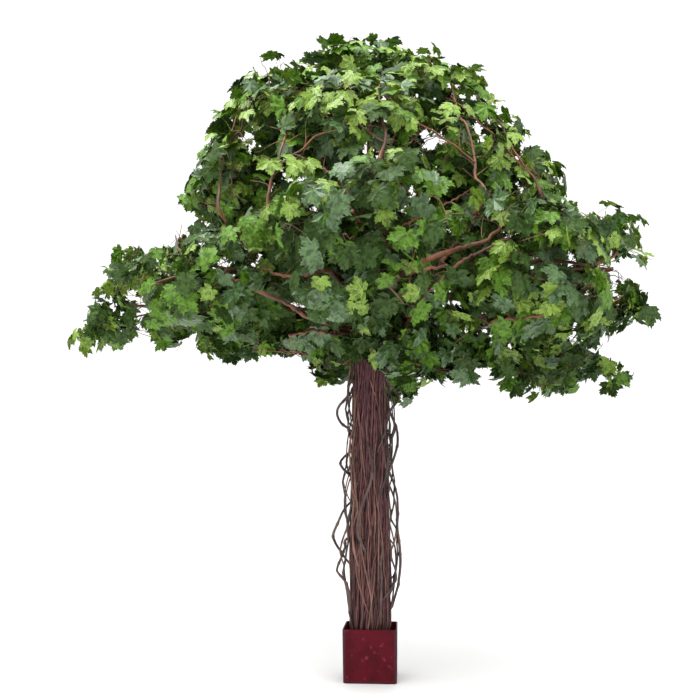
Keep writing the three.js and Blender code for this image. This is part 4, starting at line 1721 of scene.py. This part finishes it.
class MAPLE_OT_stage(bpy.types.Operator):
    """Lays the floor and sets the lights, the surroundings and the camera"""

    bl_idname = "maple.stage"
    bl_label = "Stage"

    def execute(self, context):
        stage = context.scene.maple_stage
        scene = context.scene
        s = Shader("floor_paint", Roughness=0.9, **{"Specular IOR Level": 0.1})
        grain = s.noise(3, 2)
        pale = shown(stage.floor)
        s.wear("Base Color", s.mix(grain, pale, tuple(c * 0.985 for c in pale)))
        floor = Pieces()
        rings = [
            np.stack(
                [
                    r * np.cos(np.linspace(0, 2 * math.pi, 96, endpoint=False)),
                    r * np.sin(np.linspace(0, 2 * math.pi, 96, endpoint=False)),
                    np.zeros(96),
                ],
                1,
            )
            for r in (0.02, 1, 4, 12, 30, 60)
        ]
        ground = skin(rings[::-1], closed_end=True).make("floor", s.material, False)
        ground.location.z = -0.0005

        world = bpy.data.worlds.new("pale_surroundings")
        world.use_nodes = True
        back = world.node_tree.nodes["Background"]
        back.inputs["Color"].default_value = (1.0, 1.0, 1.0, 1.0)
        back.inputs["Strength"].default_value = stage.sky
        scene.world = world

        def area(name, place, target, size, power):
            light = bpy.data.lights.new(name, "AREA")
            light.shape, light.size, light.energy = "SQUARE", size, power
            lamp = bpy.data.objects.new(name, light)
            lamp.location = place
            lamp.rotation_euler = (Vector(target) - Vector(place)).to_track_quat("-Z", "Y").to_euler()
            scene.collection.objects.link(lamp)

        area("key_light", (-1.5, -2.5, 6.7), (0, 0, 1.9), 4.6, stage.key)
        area("fill_light", (3.2, -3.0, 5.0), (0, 0, 1.8), 3.0, stage.fill)
        area("back_light", (0.5, 4.8, 4.2), (0, 0, 2.0), 3.0, stage.fill)
        camera = bpy.data.cameras.new("camera")
        camera.lens, camera.sensor_width = stage.lens, 36.0
        camera.clip_start, camera.clip_end = 0.05, 200.0
        view = bpy.data.objects.new("camera", camera)
        view.location = stage.location
        view.rotation_euler = (math.pi / 2 + stage.tilt, 0.0, stage.pan)
        scene.collection.objects.link(view)
        scene.camera = view
        scene.view_settings.view_transform = "Standard"
        return {"FINISHED"}


# ---------------------------------------------------------------- panel and run


STEPS = (
    MAPLE_OT_stage,
    MAPLE_OT_pot,
    MAPLE_OT_cement,
    MAPLE_OT_column,
    MAPLE_OT_vines,
    MAPLE_OT_boughs,
    MAPLE_OT_twigs,
    MAPLE_OT_leaves,
)


class MAPLE_PT_tree(bpy.types.Panel):
    """Lists the tree's settings and the steps that build it"""

    bl_idname = "MAPLE_PT_tree"
    bl_label = "Artificial maple"
    bl_space_type = "VIEW_3D"
    bl_region_type = "UI"
    bl_category = "Maple"

    def draw(self, context):
        for name in ("maple_trunk", "maple_crown", "maple_pot", "maple_stage"):
            box = self.layout.box()
            group = getattr(context.scene, name)
            for key in group.__annotations__:
                box.prop(group, key)
        for step in STEPS:
            self.layout.operator(step.bl_idname)


GROUPS = {
    "maple_trunk": MapleTrunkSettings,
    "maple_crown": MapleCrownSettings,
    "maple_pot": MaplePotSettings,
    "maple_stage": MapleStageSettings,
}


def register():
    for group in GROUPS.values():
        bpy.utils.register_class(group)
    for name, group in GROUPS.items():
        setattr(bpy.types.Scene, name, bpy.props.PointerProperty(type=group))
    for step in STEPS:
        bpy.utils.register_class(step)
    bpy.utils.register_class(MAPLE_PT_tree)


def unregister():
    bpy.utils.unregister_class(MAPLE_PT_tree)
    for step in reversed(STEPS):
        bpy.utils.unregister_class(step)
    for name, group in GROUPS.items():
        delattr(bpy.types.Scene, name)
        bpy.utils.unregister_class(group)


def main():
    """Builds the whole tree, step by step."""
    register()
    for step in STEPS:
        family, name = step.bl_idname.split(".")
        getattr(getattr(bpy.ops, family), name)()
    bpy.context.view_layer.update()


if __name__ == "__main__":
    main()
